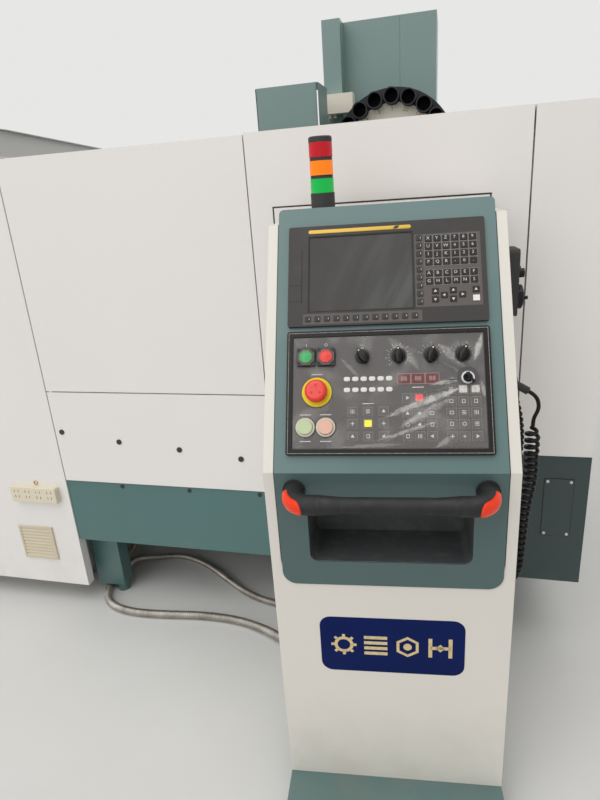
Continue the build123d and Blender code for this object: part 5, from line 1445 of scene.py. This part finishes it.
@dataclass
class OperatorPanel:
    """The operator panel's prints, caps, collars, lamps, knobs and key, in millimetres."""

    plate: float = 6.0
    key_top: float = 7.0
    middle: float = -247.5
    octagon_turn: float = math.radians(22.5)
    fields: tuple[tuple[Sequence[float], Sequence[float]], ...] = (
        ((-67.7, -37.4, -7.1), (-287.5, -311.5, -336.7)),
        ((38.8, 61.5, 85.0), (-262, -292.8, -314.8, -337.2)),
        ((122, 145, 168), (-246.6, -270, -292, -314, -338)),
    )
    lit: tuple[tuple[Place, str, Finish], ...] = (
        ((-37.4, -311.5), "lit_yellow_key", KEY_YELLOW), ((61.5, -262), "lit_red_lamp", KEY_RED),
    )
    blanks: tuple[Place, ...] = ((145, -246.6), (168, -246.6))
    dials: tuple[tuple[int, float, float], ...] = (
        (5, 14, 18.5), (16, 270, 19.5), (9, 150, 19.5), (7, 120, 19.5),
    )
    captions: tuple[Place, ...] = (
        (-138.4, -211), (-161, -346), (-120.4, -346), (-161, -293), (-120.4, -293), (-37, -272),
        (60, -241),
    )
    figure_gap: float = 5.5
    sign_gap: float = 26
    window_first: Place = (33, -224)
    window_pitch: float = 27.3
    window_count: int = 3
    window_rise: float = 7.5
    cap_rise: float = 11.4
    collar_rise: float = 11
    collar_thick: float = 2
    lamp_first: float = -78.4
    lamp_pitch: float = 16.6
    lamp_columns: int = 6
    lamp_rows: Place = (-222, -244)
    line_rise: float = 8.9
    knob_rise: float = 6.4
    mark_reach: float = 11.8
    mark_rise: float = 22.9
    bow_rise: float = 12
    bow_offset: Place = (3, -3)
    bow_turn: float = math.radians(-52)

    def keys(self) -> list[Place]:
        """The membrane keys, field by field."""
        return [(u, v) for columns, rows in self.fields for u in columns for v in rows]

    def pictures(self) -> list[Callable[[], Piece]]:
        """Plain marks for the keys: arrow, ring, bars, cross, square and plus sign."""
        return [
            lambda: Bench.disc("mark", 4.2 * MM, INK, 3),
            lambda: Bench.ring("mark", 3.8 * MM, 1.0 * MM, INK, 20),
            lambda: Bench.join("mark", Bench.copies(
                Bench.slab("bar", 8 * MM, 1.2 * MM, INK),
                [shift(y=y) for y in (-3, 0, 3)],
            )),
            lambda: Bench.join("mark", Bench.copies(
                Bench.slab("bar", 8 * MM, 1.3 * MM, INK),
                [Matrix.Rotation(angle, 4, "Z") for angle in (0.0, math.pi / 2)],
            )),
            lambda: Bench.frame("mark", 7.5 * MM, 6.5 * MM, 1.0 * MM, INK),
            lambda: Bench.words("mark", "+", 13 * MM, INK),
        ]

    def print_keys(self) -> None:
        """Prints every key's outline and mark, and caps the lit and the blank keys."""
        shuffle = random.Random(7)
        outline = Bench.frame("outline", 19.0 * MM, 18.0 * MM, 0.5 * MM, INK)
        seats = [FACE.mm(u, v, self.plate) for u, v in self.keys()]
        Bench.spread("panel_key_outlines", outline, seats, PRINT_FAINT)
        unmarked = {place for place, _, _ in self.lit}
        pictures = self.pictures()
        marks = []
        for place in self.keys():
            if place in unmarked:
                continue
            mark = shuffle.choice(pictures)()
            turn = shuffle.choice((0.0, math.pi / 2, math.pi, -math.pi / 2))
            marks.append(Bench.put(mark, FACE.mm(*place, self.key_top).matrix(turn)))
        Bench.dress(Bench.join("panel_key_marks", marks), PRINT_WHITE, "black_plastic")
        for place, name, finish in self.lit:
            cap = Bench.slab(name, 14.5 * MM, 13.5 * MM, 0.5 * MM, 1.5 * MM)
            Bench.put(cap, FACE.mm(*place, self.key_top).matrix())
            Bench.dress(cap, finish, "black_plastic")
        cap = Bench.slab("blank", 15 * MM, 14 * MM, 0.4 * MM, 1.5 * MM)
        seats = [FACE.mm(*place, self.key_top) for place in self.blanks]
        Bench.spread("blank_white_keys", cap, seats, PRINT_WHITE)

    def dial(self, knob: Place, count: int, sweep: float, radius: float) -> list[Piece]:
        """The scale of ticks and figures round one selector.

        Args:
            knob: the selector's place on the face, in metres.
            count: how many ticks the scale has.
            sweep: the angle that the scale spans, in degrees.
            radius: how far the ticks stand off the knob's axis.

        Returns:
            The prints, not yet joined.
        """
        seat = FACE.at(*knob, self.plate * MM)
        start = math.radians(90 + sweep / 2)
        angles = [start - math.radians(sweep) * n / (count - 1) for n in range(count)]
        marks = Bench.copies(
            Bench.slab("tick", 0.7 * MM, 3.0 * MM, INK),
            [seat.matrix(angle - math.pi / 2) @ shift(y=radius) for angle in angles],
        )
        reach = radius + self.figure_gap
        for n in range(0, count, 2):
            spot = seat.mm(math.cos(angles[n]) * reach, math.sin(angles[n]) * reach)
            marks.append(Bench.put(Bench.words("figure", str(n), 4.4 * MM, INK), spot.matrix()))
        return marks

    def print_dials(self) -> None:
        """Prints the selectors' scales, the push buttons' signs and the captions' lines."""
        marks = []
        for knob, scale in zip(KNOBS, self.dials):
            marks += self.dial(knob, *scale)
        for control, sign in ((Controls.START, "I"), (Controls.HALT, "O")):
            tag = Bench.words("tag", sign, 9 * MM, INK)
            marks.append(Bench.put(tag, control.seat(self.plate).mm(v=self.sign_gap).matrix()))
        line = Bench.slab("line", 22 * MM, 1.6 * MM, INK)
        marks += Bench.copies(
            line, [FACE.mm(u, v, self.plate).matrix() for u, v in self.captions]
        )
        Bench.dress(Bench.join("panel_dial_prints", marks), PRINT_WHITE, "black_plastic")

    def window_frames(self) -> None:
        """Outlines the three figure windows and puts a faint unlit figure in each."""
        left, height = self.window_first
        seats = [
            FACE.mm(left + n * self.window_pitch, height, self.window_rise)
            for n in range(self.window_count)
        ]
        outline = Bench.frame("outline", 26.4 * MM, 21.4 * MM, 0.8 * MM, INK)
        parts = Bench.copies(outline, [seat.matrix() for seat in seats])
        for seat in seats:
            parts.append(Bench.put(Bench.words("figure", "88", 13 * MM, INK), seat.matrix()))
        Bench.dress(Bench.join("figure_window_outlines", parts), WINDOW_PINK, "black_plastic")

    def push_buttons(self) -> None:
        """Sets an eight-sided cap in each square block, within a bevelled collar."""
        turn = Matrix.Rotation(self.octagon_turn, 4, "Z")
        for control, body, finish, slot in (
            (Controls.START, "start_button", CAP_GREEN, "button_green"),
            (Controls.HALT, "stop_button", CAP_RED, "button_red"),
        ):
            cap = Bench.put(Bench.disc("cap", 13.2 * MM, 4.6 * MM, 8, 1.2 * MM), turn)
            rim = Bench.ring("rim", 13.2 * MM, 2.0 * MM, 1.0 * MM, 8)
            Bench.put(rim, shift(z=4.4) @ turn)
            cap = Bench.join(f"{body}_cap", [cap, rim])
            Bench.put(cap, control.seat(self.cap_rise).matrix())
            Bench.dress(cap, finish, slot, body=body)
            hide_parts(body)
        seats = [control.seat(self.collar_rise) for control in (Controls.START, Controls.HALT)]
        collar = Bench.frame("collar", 36 * MM, 36 * MM, 4.5 * MM, 2.2 * MM)
        Bench.spread("button_collars", collar, seats, BLACK)
        rim = Bench.put(Bench.ring("rim", 18.4 * MM, 4.5 * MM, 1.6 * MM, 8), turn)
        tops = [seat.mm(rise=self.collar_thick) for seat in seats]
        Bench.spread("button_rims", rim, tops, RIM_BROWN)

    def lamps(self) -> None:
        """Covers each lamp with its oval white cap."""
        cap = Bench.slab("lamp", 12.6 * MM, 9.0 * MM, 1.6 * MM, 3.8 * MM, 0.5 * MM)
        seats = [
            FACE.mm(self.lamp_first + self.lamp_pitch * n, v, self.plate)
            for n in range(self.lamp_columns) for v in self.lamp_rows
        ]
        Bench.spread("lamp_caps", cap, seats, LAMP_WHITE)

    def frame_line(self) -> None:
        """The thin pale line along the panel's frame."""
        edge = Bench.frame("panel_frame_line", 393 * MM, 246 * MM, 0.9 * MM, 0.5 * MM)
        Bench.put(edge, FACE.mm(0, self.middle, self.line_rise).matrix())
        Bench.dress(edge, PRINT_FAINT, "black_plastic")

    def wing(self) -> Piece:
        """A selector knob: a skirt, a long wing and a finger rest along its sides."""
        skirt = Bench.disc("skirt", 13.4 * MM, 4.4 * MM, 40, 1.2 * MM)
        wing = Bench.disc("wing", 16.5 * MM, 16.6 * MM, 36, 2.2 * MM)
        Bench.narrow(wing, lambda vertex: True, 0.56)
        Bench.narrow(wing, lambda vertex: vertex.co.x > 3 * MM, 0.80)
        Bench.narrow(wing, lambda vertex: vertex.co.z > 8 * MM, 0.72)
        return Bench.join("knob", [skirt, wing])

    def knobs(self) -> None:
        """Models the four selector knobs with a white mark on each."""
        for n, (place, turn) in enumerate(zip(KNOBS, KNOB_TURNS), start=1):
            seat = FACE.at(*place)
            knob = Bench.put(self.wing(), seat.mm(rise=self.knob_rise).matrix(turn))
            knob.name = f"selector_wing_{n}"
            Bench.dress(knob, KNOB_BLACK, "black_plastic", body=f"selector_{n}", smooth=40.0)
            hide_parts(f"selector_knob_{n}")
            dot = Bench.disc(f"selector_mark_{n}", 1.7 * MM, 0.3 * MM, 16)
            Bench.put(dot, shift(x=self.mark_reach))
            Bench.put(dot, seat.mm(rise=self.mark_rise).matrix(turn))
            Bench.dress(dot, PRINT_WHITE, "black_plastic", body=f"selector_{n}")

    def key(self) -> None:
        """Puts a bright ring round the key switch and a key with a black bow in it."""
        ring = Bench.ring("key_switch_ring", 12.5 * MM, 3.2 * MM, 2.2 * MM, 28)
        Bench.put(ring, Controls.KEY.seat(self.plate).matrix())
        Bench.dress(ring, TOOL_STEEL, "tool_steel")
        bow = Bench.slab("key_bow", 24 * MM, 3.2 * MM, 15 * MM, 1.2 * MM, 1.0 * MM)
        seat = Controls.KEY.seat(self.bow_rise).mm(*self.bow_offset)
        Bench.put(bow, seat.matrix(self.bow_turn))
        Bench.dress(bow, KNOB_BLACK, "black_plastic", body="key")

    def build(self) -> None:
        """Models all that the panel carries."""
        self.print_keys()
        self.print_dials()
        self.window_frames()
        self.push_buttons()
        self.lamps()
        self.frame_line()
        self.knobs()
        self.key()


@dataclass
class PanelFilm:
    """The creased clear film on the panel's plate, cut out round the controls.

    Each crease has a start, an end and a height in millimetres.
    """

    width: float = 372 * MM
    height: float = 225 * MM
    columns: int = 150
    rows: int = 92
    middle: float = -247.5 * MM
    stand_off: float = 7.75 * MM
    crease_width: float = 3.2 * MM
    swell: float = 0.45 * MM
    control_cut: float = 21 * MM
    knob_cut: float = 17 * MM
    stop_cut: float = 32 * MM
    wave_pace: Place = (20, 90)
    wave_start: Place = (0, 6)
    wave_count: int = 7
    creases: tuple[Crease, ...] = (
        ((0.155, -0.228), (-0.010, -0.300), 1.7), ((0.150, -0.232), (0.030, -0.345), 1.3),
        ((0.150, -0.220), (0.060, -0.140), 1.5), ((0.165, -0.215), (0.183, -0.140), 1.6),
        ((0.120, -0.262), (0.005, -0.335), 1.1), ((0.070, -0.240), (-0.030, -0.262), 0.9),
        ((0.060, -0.150), (0.020, -0.200), 1.0), ((0.170, -0.240), (0.178, -0.345), 1.2),
        ((-0.080, -0.170), (-0.095, -0.260), 0.8), ((0.100, -0.300), (0.060, -0.358), 1.0),
    )

    def near_control(self, u: float, v: float) -> bool:
        """Whether a place lies inside one of the cut-outs."""
        holes = [(place.value, self.control_cut) for place in Controls]
        holes += [(place, self.knob_cut) for place in KNOBS]
        holes.append((Controls.STOP.value, self.stop_cut))
        return any(math.hypot(u - p[0], v - p[1]) < radius for p, radius in holes)

    def lift(self, u: float, v: float, waves: Sequence[Point]) -> float:
        """How far the film stands off at a place, from its creases and its slow waves."""
        rise = 0.0
        for (u0, v0), (u1, v1), tall in self.creases:
            run = Vector((u1 - u0, v1 - v0))
            share = ((u - u0) * run.x + (v - v0) * run.y) / run.length_squared
            share = min(max(share, 0.0), 1.0)
            off = math.hypot(u - u0 - run.x * share, v - v0 - run.y * share)
            rise += tall * MM * math.exp(-((off / self.crease_width) ** 2)) * (1.15 - share)
        slow = sum(math.sin(a * u * 2 + b * v * 2 + c) for a, b, c in waves) / len(waves)
        return rise + self.swell * (1 + slow)

    def build(self) -> None:
        """Lays the film over the plate."""
        film = Bench.start(
            "clear_film", bpy.ops.mesh.primitive_grid_add, (self.width, self.height, 1.0),
            x_subdivisions=self.columns, y_subdivisions=self.rows, size=1.0,
        )
        Bench.edit(
            film, "FACE",
            lambda f: self.near_control(
                f.calc_center_median().x, f.calc_center_median().y + self.middle
            ),
            lambda: bpy.ops.mesh.delete(type="FACE"),
        )
        shuffle = random.Random(11)
        ranges = (self.wave_pace, self.wave_pace, self.wave_start)
        waves = [
            tuple(shuffle.uniform(*span) for span in ranges) for _ in range(self.wave_count)
        ]
        for vertex in film.data.vertices:
            u, v = vertex.co.x, vertex.co.y + self.middle
            vertex.co = Vector((u, v, self.stand_off + self.lift(u, v, waves)))
        Bench.put(film, FACE.matrix())
        Bench.dress(film, CLEAR_FILM, "screen_glass", smooth=70.0)


@dataclass
class ConsoleTrim:
    """The console's label, handle sleeves and stop button arrows, in millimetres."""

    label_width: float = 308
    label_height: float = 145
    label_middle: float = 462.5
    label_sink: float = -3.0
    label_thick: float = 0.8
    motif_thick: float = 0.25 * MM
    motif_places: tuple[float, ...] = (-103, -34, 34, 103)
    arrow_rise: float = 30.4
    arrow_reach: float = 9.5
    arrow_turn: float = 0.5
    sleeve_place: Point = (114, -60, 844)
    sleeve_root: float = 19.7 * MM
    sleeve_tip: float = 16.2 * MM
    sleeve_length: float = 46 * MM

    def gear(self) -> list[Piece]:
        """A wheel with eight teeth."""
        teeth = Bench.copies(
            Bench.slab("tooth", 6.5 * MM, 8 * MM, self.motif_thick),
            [
                Matrix.Rotation(math.radians(angle), 4, "Z") @ shift(y=23.5)
                for angle in range(0, 360, 45)
            ],
        )
        return [Bench.ring("gear", 21 * MM, 7 * MM, self.motif_thick, 36)] + teeth

    def bars(self) -> list[Piece]:
        """Four bars, one above the other."""
        return Bench.copies(
            Bench.slab("bar", 50 * MM, 8 * MM, self.motif_thick),
            [shift(y=y) for y in (-21, -7, 7, 21)],
        )

    def nut(self) -> list[Piece]:
        """A six-sided nut with a round middle."""
        return [
            Bench.ring("nut", 27 * MM, 6 * MM, self.motif_thick, 6),
            Bench.disc("hub", 9 * MM, self.motif_thick, 24),
        ]

    def slide(self) -> list[Piece]:
        """Two posts, a beam and a tool block on it."""
        posts = Bench.copies(
            Bench.slab("post", 8 * MM, 50 * MM, self.motif_thick),
            [shift(x=x) for x in (-21, 21)],
        )
        beam = Bench.slab("beam", 42 * MM, 8 * MM, self.motif_thick)
        return posts + [beam, Bench.disc("tool", 10 * MM, self.motif_thick, 4)]

    def label(self) -> None:
        """A navy plate with plain gold machine motifs on it."""
        front = CONSOLE.front().mm(0, self.label_middle, self.label_sink)
        plate = Bench.slab(
            "maker_plate_blank", self.label_width * MM, self.label_height * MM,
            self.label_thick * MM, 25 * MM, 0.2 * MM,
        )
        Bench.put(plate, front.matrix())
        Bench.dress(plate, LABEL_BLUE)
        parts = []
        for motif, x in zip((self.gear, self.bars, self.nut, self.slide), self.motif_places):
            tile = Bench.join("tile", motif())
            parts.append(Bench.put(tile, front.mm(x, 0, self.label_thick).matrix()))
        Bench.dress(Bench.join("plate_gold_motifs", parts), LABEL_GOLD)

    def stop_marks(self) -> None:
        """Turning arrows moulded on the emergency stop."""
        top = Controls.STOP.seat(self.arrow_rise)
        aside = shift(y=self.arrow_reach) @ Matrix.Rotation(self.arrow_turn, 4, "Z")
        parts = Bench.copies(
            Bench.disc("arrow", 3.4 * MM, 0.35 * MM, 3),
            [top.matrix(math.radians(angle)) @ aside for angle in (0, 120, 240)],
        )
        piece = Bench.join("stop_turn_arrows", parts)
        Bench.dress(piece, STOP_MARK, "button_red", body="emergency_stop")

    def fairings(self) -> None:
        """Tapered sleeves that run the grab bar into its elbows."""
        aside, inward, height = self.sleeve_place
        for side, name in ((-1, "left"), (1, "right")):
            sleeve = Bench.start(
                f"handle_sleeve_{name}", bpy.ops.mesh.primitive_cone_add, vertices=40,
                radius1=self.sleeve_root, radius2=self.sleeve_tip, depth=self.sleeve_length,
            )
            middle = CONSOLE.point(side * aside * MM, inward * MM, height * MM)
            seat = Seat(middle, CONSOLE.inward * side, Vector((0, 0, 1)))
            Bench.put(sleeve, seat.matrix() @ Matrix.Rotation(math.pi, 4, "Y"))
            Bench.dress(sleeve, HANDLE_RUBBER, "black_plastic", smooth=50.0)

    def build(self) -> None:
        """Models the console's trim."""
        self.label()
        self.fairings()
        self.stop_marks()


@dataclass
class GuardTrim:
    """Fasteners and small fittings on the guard's sheets."""

    screw_head: float = 6.0 * MM
    socket: float = 2.6 * MM
    rear_margin: float = 60 * MM
    rear_drop: float = 40 * MM
    rear_columns: int = 9
    edge_inset: float = 20 * MM
    edge_foot: float = 80 * MM
    edge_pitch: float = 260 * MM
    edge_rows: int = 4
    end_inset: float = 35 * MM
    end_pitch: float = 385 * MM
    end_columns: int = 7
    end_heights: Place = (0.545, 1.525)
    hook_place: Point = (-478, 500, 2)
    access_sink: float = -2.0 * MM
    access_corners: tuple[Place, ...] = ((-30, -82), (-30, 82), (30, -82), (30, 82))

    def screw(self) -> Piece:
        """One button-head screw with its socket."""
        head = Bench.disc("screw", self.screw_head, 3.2 * MM, 20, 1.4 * MM)
        Bench.edit(
            head, "FACE", lambda f: f.normal.z > 0.99 and f.calc_center_median().z > 3 * MM,
            lambda: bpy.ops.mesh.inset(thickness=2.2 * MM),
        )
        Bench.edit(
            head, "FACE",
            lambda f: f.normal.z > 0.99 and f.calc_area() < math.pi * self.socket**2,
            lambda: bpy.ops.mesh.extrude_region_move(
                TRANSFORM_OT_translate={"value": (0, 0, -1.8 * MM)}
            ),
        )
        return head

    def rear_seats(self) -> list[Seat]:
        """The screws along the rear guard's top and down its two ends."""
        low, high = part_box("rear_guard")
        rear = Seat(Vector((0, high.y, 0)), Vector((-1, 0, 0)), Vector((0, 0, 1)))
        pitch = (high.x - low.x - 2 * self.rear_margin) / (self.rear_columns - 1)
        columns = [low.x + self.rear_margin + n * pitch for n in range(self.rear_columns)]
        rows = [low.z + self.edge_foot + n * self.edge_pitch for n in range(self.edge_rows)]
        ends = (low.x + self.edge_inset, high.x - self.edge_inset)
        top = [rear.at(x, high.z - self.rear_drop) for x in columns]
        return top + [rear.at(x, z) for x in ends for z in rows]

    def end_seats(self) -> list[Seat]:
        """The screws in two rows on the left end wall and on the right cover."""
        left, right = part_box("left_end_wall")[0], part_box("right_cover")[1]
        wall = Seat(Vector((left.x, 0, 0)), Vector((0, -1, 0)), Vector((0, 0, 1)))
        cover = Seat(Vector((right.x, 0, 0)), Vector((0, 1, 0)), Vector((0, 0, 1)))
        depths = [left.y + self.end_inset + n * self.end_pitch for n in range(self.end_columns)]
        seats = [wall.at(-y, z) for y in depths for z in self.end_heights]
        return seats + [cover.at(y, z) for y in depths for z in self.end_heights]

    def hook(self) -> None:
        """A small brass-coloured hook above the socket strip."""
        hook = Bench.start(
            "strip_hook", bpy.ops.mesh.primitive_torus_add, major_radius=7 * MM,
            minor_radius=1.3 * MM, major_segments=24, minor_segments=10,
        )
        Bench.put(hook, GUARD_FRONT.mm(*self.hook_place).matrix())
        Bench.dress(hook, HOOK_BRASS, "cream_plastic")

    def access_screws(self) -> None:
        """Four small bright screws on the right skirt's access plate."""
        head = Bench.disc("access_screw", 4.6 * MM, 2.2 * MM, 20, 0.9 * MM)
        plate = GUARD_FRONT.at(*ACCESS_PLATE, self.access_sink)
        seats = [plate.mm(u, v) for u, v in self.access_corners]
        Bench.spread("access_plate_screws", head, seats, SCREW_STEEL, "tool_steel")

    def build(self) -> None:
        """Screws the guard's sheets to their frame, and hangs the hook."""
        seats = self.rear_seats() + self.end_seats()
        Bench.spread("guard_screws", self.screw(), seats, SCREW_STEEL, "tool_steel")
        self.hook()
        self.access_screws()


@dataclass
class MagazineTrim:
    """Figures on the magazine's number ring."""

    pockets: int = 20
    circle: float = 205 * MM
    height: float = 28 * MM
    thick: float = 0.3 * MM
    axis: Place = (0.637, 1.540)

    def build(self) -> None:
        """Prints the pockets' numbers round the ring."""
        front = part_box("number_ring")[0].y
        origin = Vector((self.axis[0], front, self.axis[1]))
        seat = Seat(origin, Vector((1, 0, 0)), Vector((0, 0, 1)))
        figures = []
        for n in range(self.pockets):
            angle = 2 * math.pi * n / self.pockets + math.pi / 2
            spot = seat.at(self.circle * math.cos(angle), self.circle * math.sin(angle))
            figure = Bench.words("figure", str(n + 1), self.height, self.thick)
            figures.append(Bench.put(figure, spot.matrix(angle - math.pi / 2)))
        piece = Bench.join("pocket_numbers", figures)
        Bench.dress(piece, FIGURE_ORANGE, "cream_plastic", body="magazine")


@dataclass
class Studio:
    """The pale floor, the soft lights and the camera at the photograph's place."""

    lens: float = 26.28
    sensor: float = 36.0
    place: Point = (0.924, -3.010, 1.400)
    right: Point = (0.9690, 0.2374, -0.0675)
    down: Point = (0.0183, -0.3417, -0.9396)
    backdrop: Colour = (0.80, 0.80, 0.79)
    ambient: Colour = (1.0, 0.99, 0.97)
    ambient_strength: float = 0.50
    floor_radius: float = 60.0
    suns: tuple[tuple[str, Point, float, float, Colour], ...] = (
        ("overhead", (0.10, 0.22, -1.0), 60.0, 1.35, (1.0, 0.99, 0.96)),
        ("window", (0.45, 0.85, -0.55), 50.0, 0.75, (1.0, 1.0, 1.0)),
        ("back_fill", (-0.3, -0.9, -0.5), 60.0, 0.35, (1.0, 1.0, 1.0)),
    )

    def camera(self) -> None:
        """Stands the camera where the photograph was taken from."""
        data = bpy.data.cameras.new("camera")
        data.lens, data.sensor_width = self.lens, self.sensor
        camera = bpy.data.objects.new("camera", data)
        bpy.context.collection.objects.link(camera)
        right = Vector(self.right).normalized()
        up = -Vector(self.down)
        back = right.cross(up).normalized()
        axes = Matrix((right, back.cross(right), back)).transposed().to_4x4()
        camera.matrix_world = Matrix.Translation(self.place) @ axes
        bpy.context.scene.camera = camera

    def floor(self) -> None:
        """A wide pale floor."""
        floor = Bench.start(
            "studio_floor", bpy.ops.mesh.primitive_circle_add, vertices=96,
            radius=self.floor_radius, fill_type="NGON",
        )
        floor.data.materials.append(FLOOR_PALE.material())

    def sun(self, name: str, aim: Point, spread: float, power: float, tone: Colour) -> None:
        """One soft light from very far away.

        Args:
            name: the light's name.
            aim: the direction that its light goes in.
            spread: how wide the light is, in degrees.
            power: its strength.
            tone: its colour.
        """
        data = bpy.data.lights.new(name, "SUN")
        data.angle = math.radians(spread)
        data.energy = power
        data.color = tone
        lamp = bpy.data.objects.new(name, data)
        bpy.context.collection.objects.link(lamp)
        lamp.rotation_euler = Vector(aim).to_track_quat("-Z", "Y").to_euler()

    def world(self) -> None:
        """An even pale surround that mirrors and lens show, with a plain backdrop."""
        world = bpy.data.worlds.new("studio")
        world.use_nodes = True
        bpy.context.scene.world = world
        tree = world.node_tree
        tree.nodes.clear()
        output = tree.nodes.new("ShaderNodeOutputWorld")
        ambient = tree.nodes.new("ShaderNodeBackground")
        ambient.inputs["Color"].default_value = (*self.ambient, 1.0)
        ambient.inputs["Strength"].default_value = self.ambient_strength
        shown = tree.nodes.new("ShaderNodeBackground")
        shown.inputs["Color"].default_value = (*self.backdrop, 1.0)
        path = tree.nodes.new("ShaderNodeLightPath")
        seen = path.outputs["Is Camera Ray"]
        for ray in ("Is Glossy Ray", "Is Transmission Ray"):
            either = tree.nodes.new("ShaderNodeMath")
            either.operation = "MAXIMUM"
            tree.links.new(seen, either.inputs[0])
            tree.links.new(path.outputs[ray], either.inputs[1])
            seen = either.outputs[0]
        mix = tree.nodes.new("ShaderNodeMixShader")
        tree.links.new(seen, mix.inputs[0])
        tree.links.new(ambient.outputs[0], mix.inputs[1])
        tree.links.new(shown.outputs[0], mix.inputs[2])
        tree.links.new(mix.outputs[0], output.inputs["Surface"])

    def build(self) -> None:
        """Sets the whole studio."""
        bpy.context.scene.view_settings.view_transform = "Standard"
        self.world()
        for light in self.suns:
            self.sun(*light)


def dress_nodes(nodes: dict[str, Piece]) -> None:
    """Gives each CAD node its finish.

    Args:
        nodes: the CAD nodes by name.
    """
    for name, node in nodes.items():
        finish = DRESS.get(name, BLACK)
        node.data.materials.clear()
        node.data.materials.append(finish.material())


def main() -> None:
    """Loads the frame and dresses it, piece by piece."""
    logging.basicConfig(level=logging.INFO, format="%(name)s: %(message)s")
    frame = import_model()
    bpy.ops.object.select_all(action="DESELECT")
    Studio().camera()
    PendantCord().build()
    FloorConduits().build()
    dress_nodes(frame["nodes"])
    Display().build()
    OperatorPanel().build()
    PanelFilm().build()
    ConsoleTrim().build()
    GuardTrim().build()
    MagazineTrim().build()
    Studio().floor()
    Studio().build()


if __name__ == "__main__":
    main()
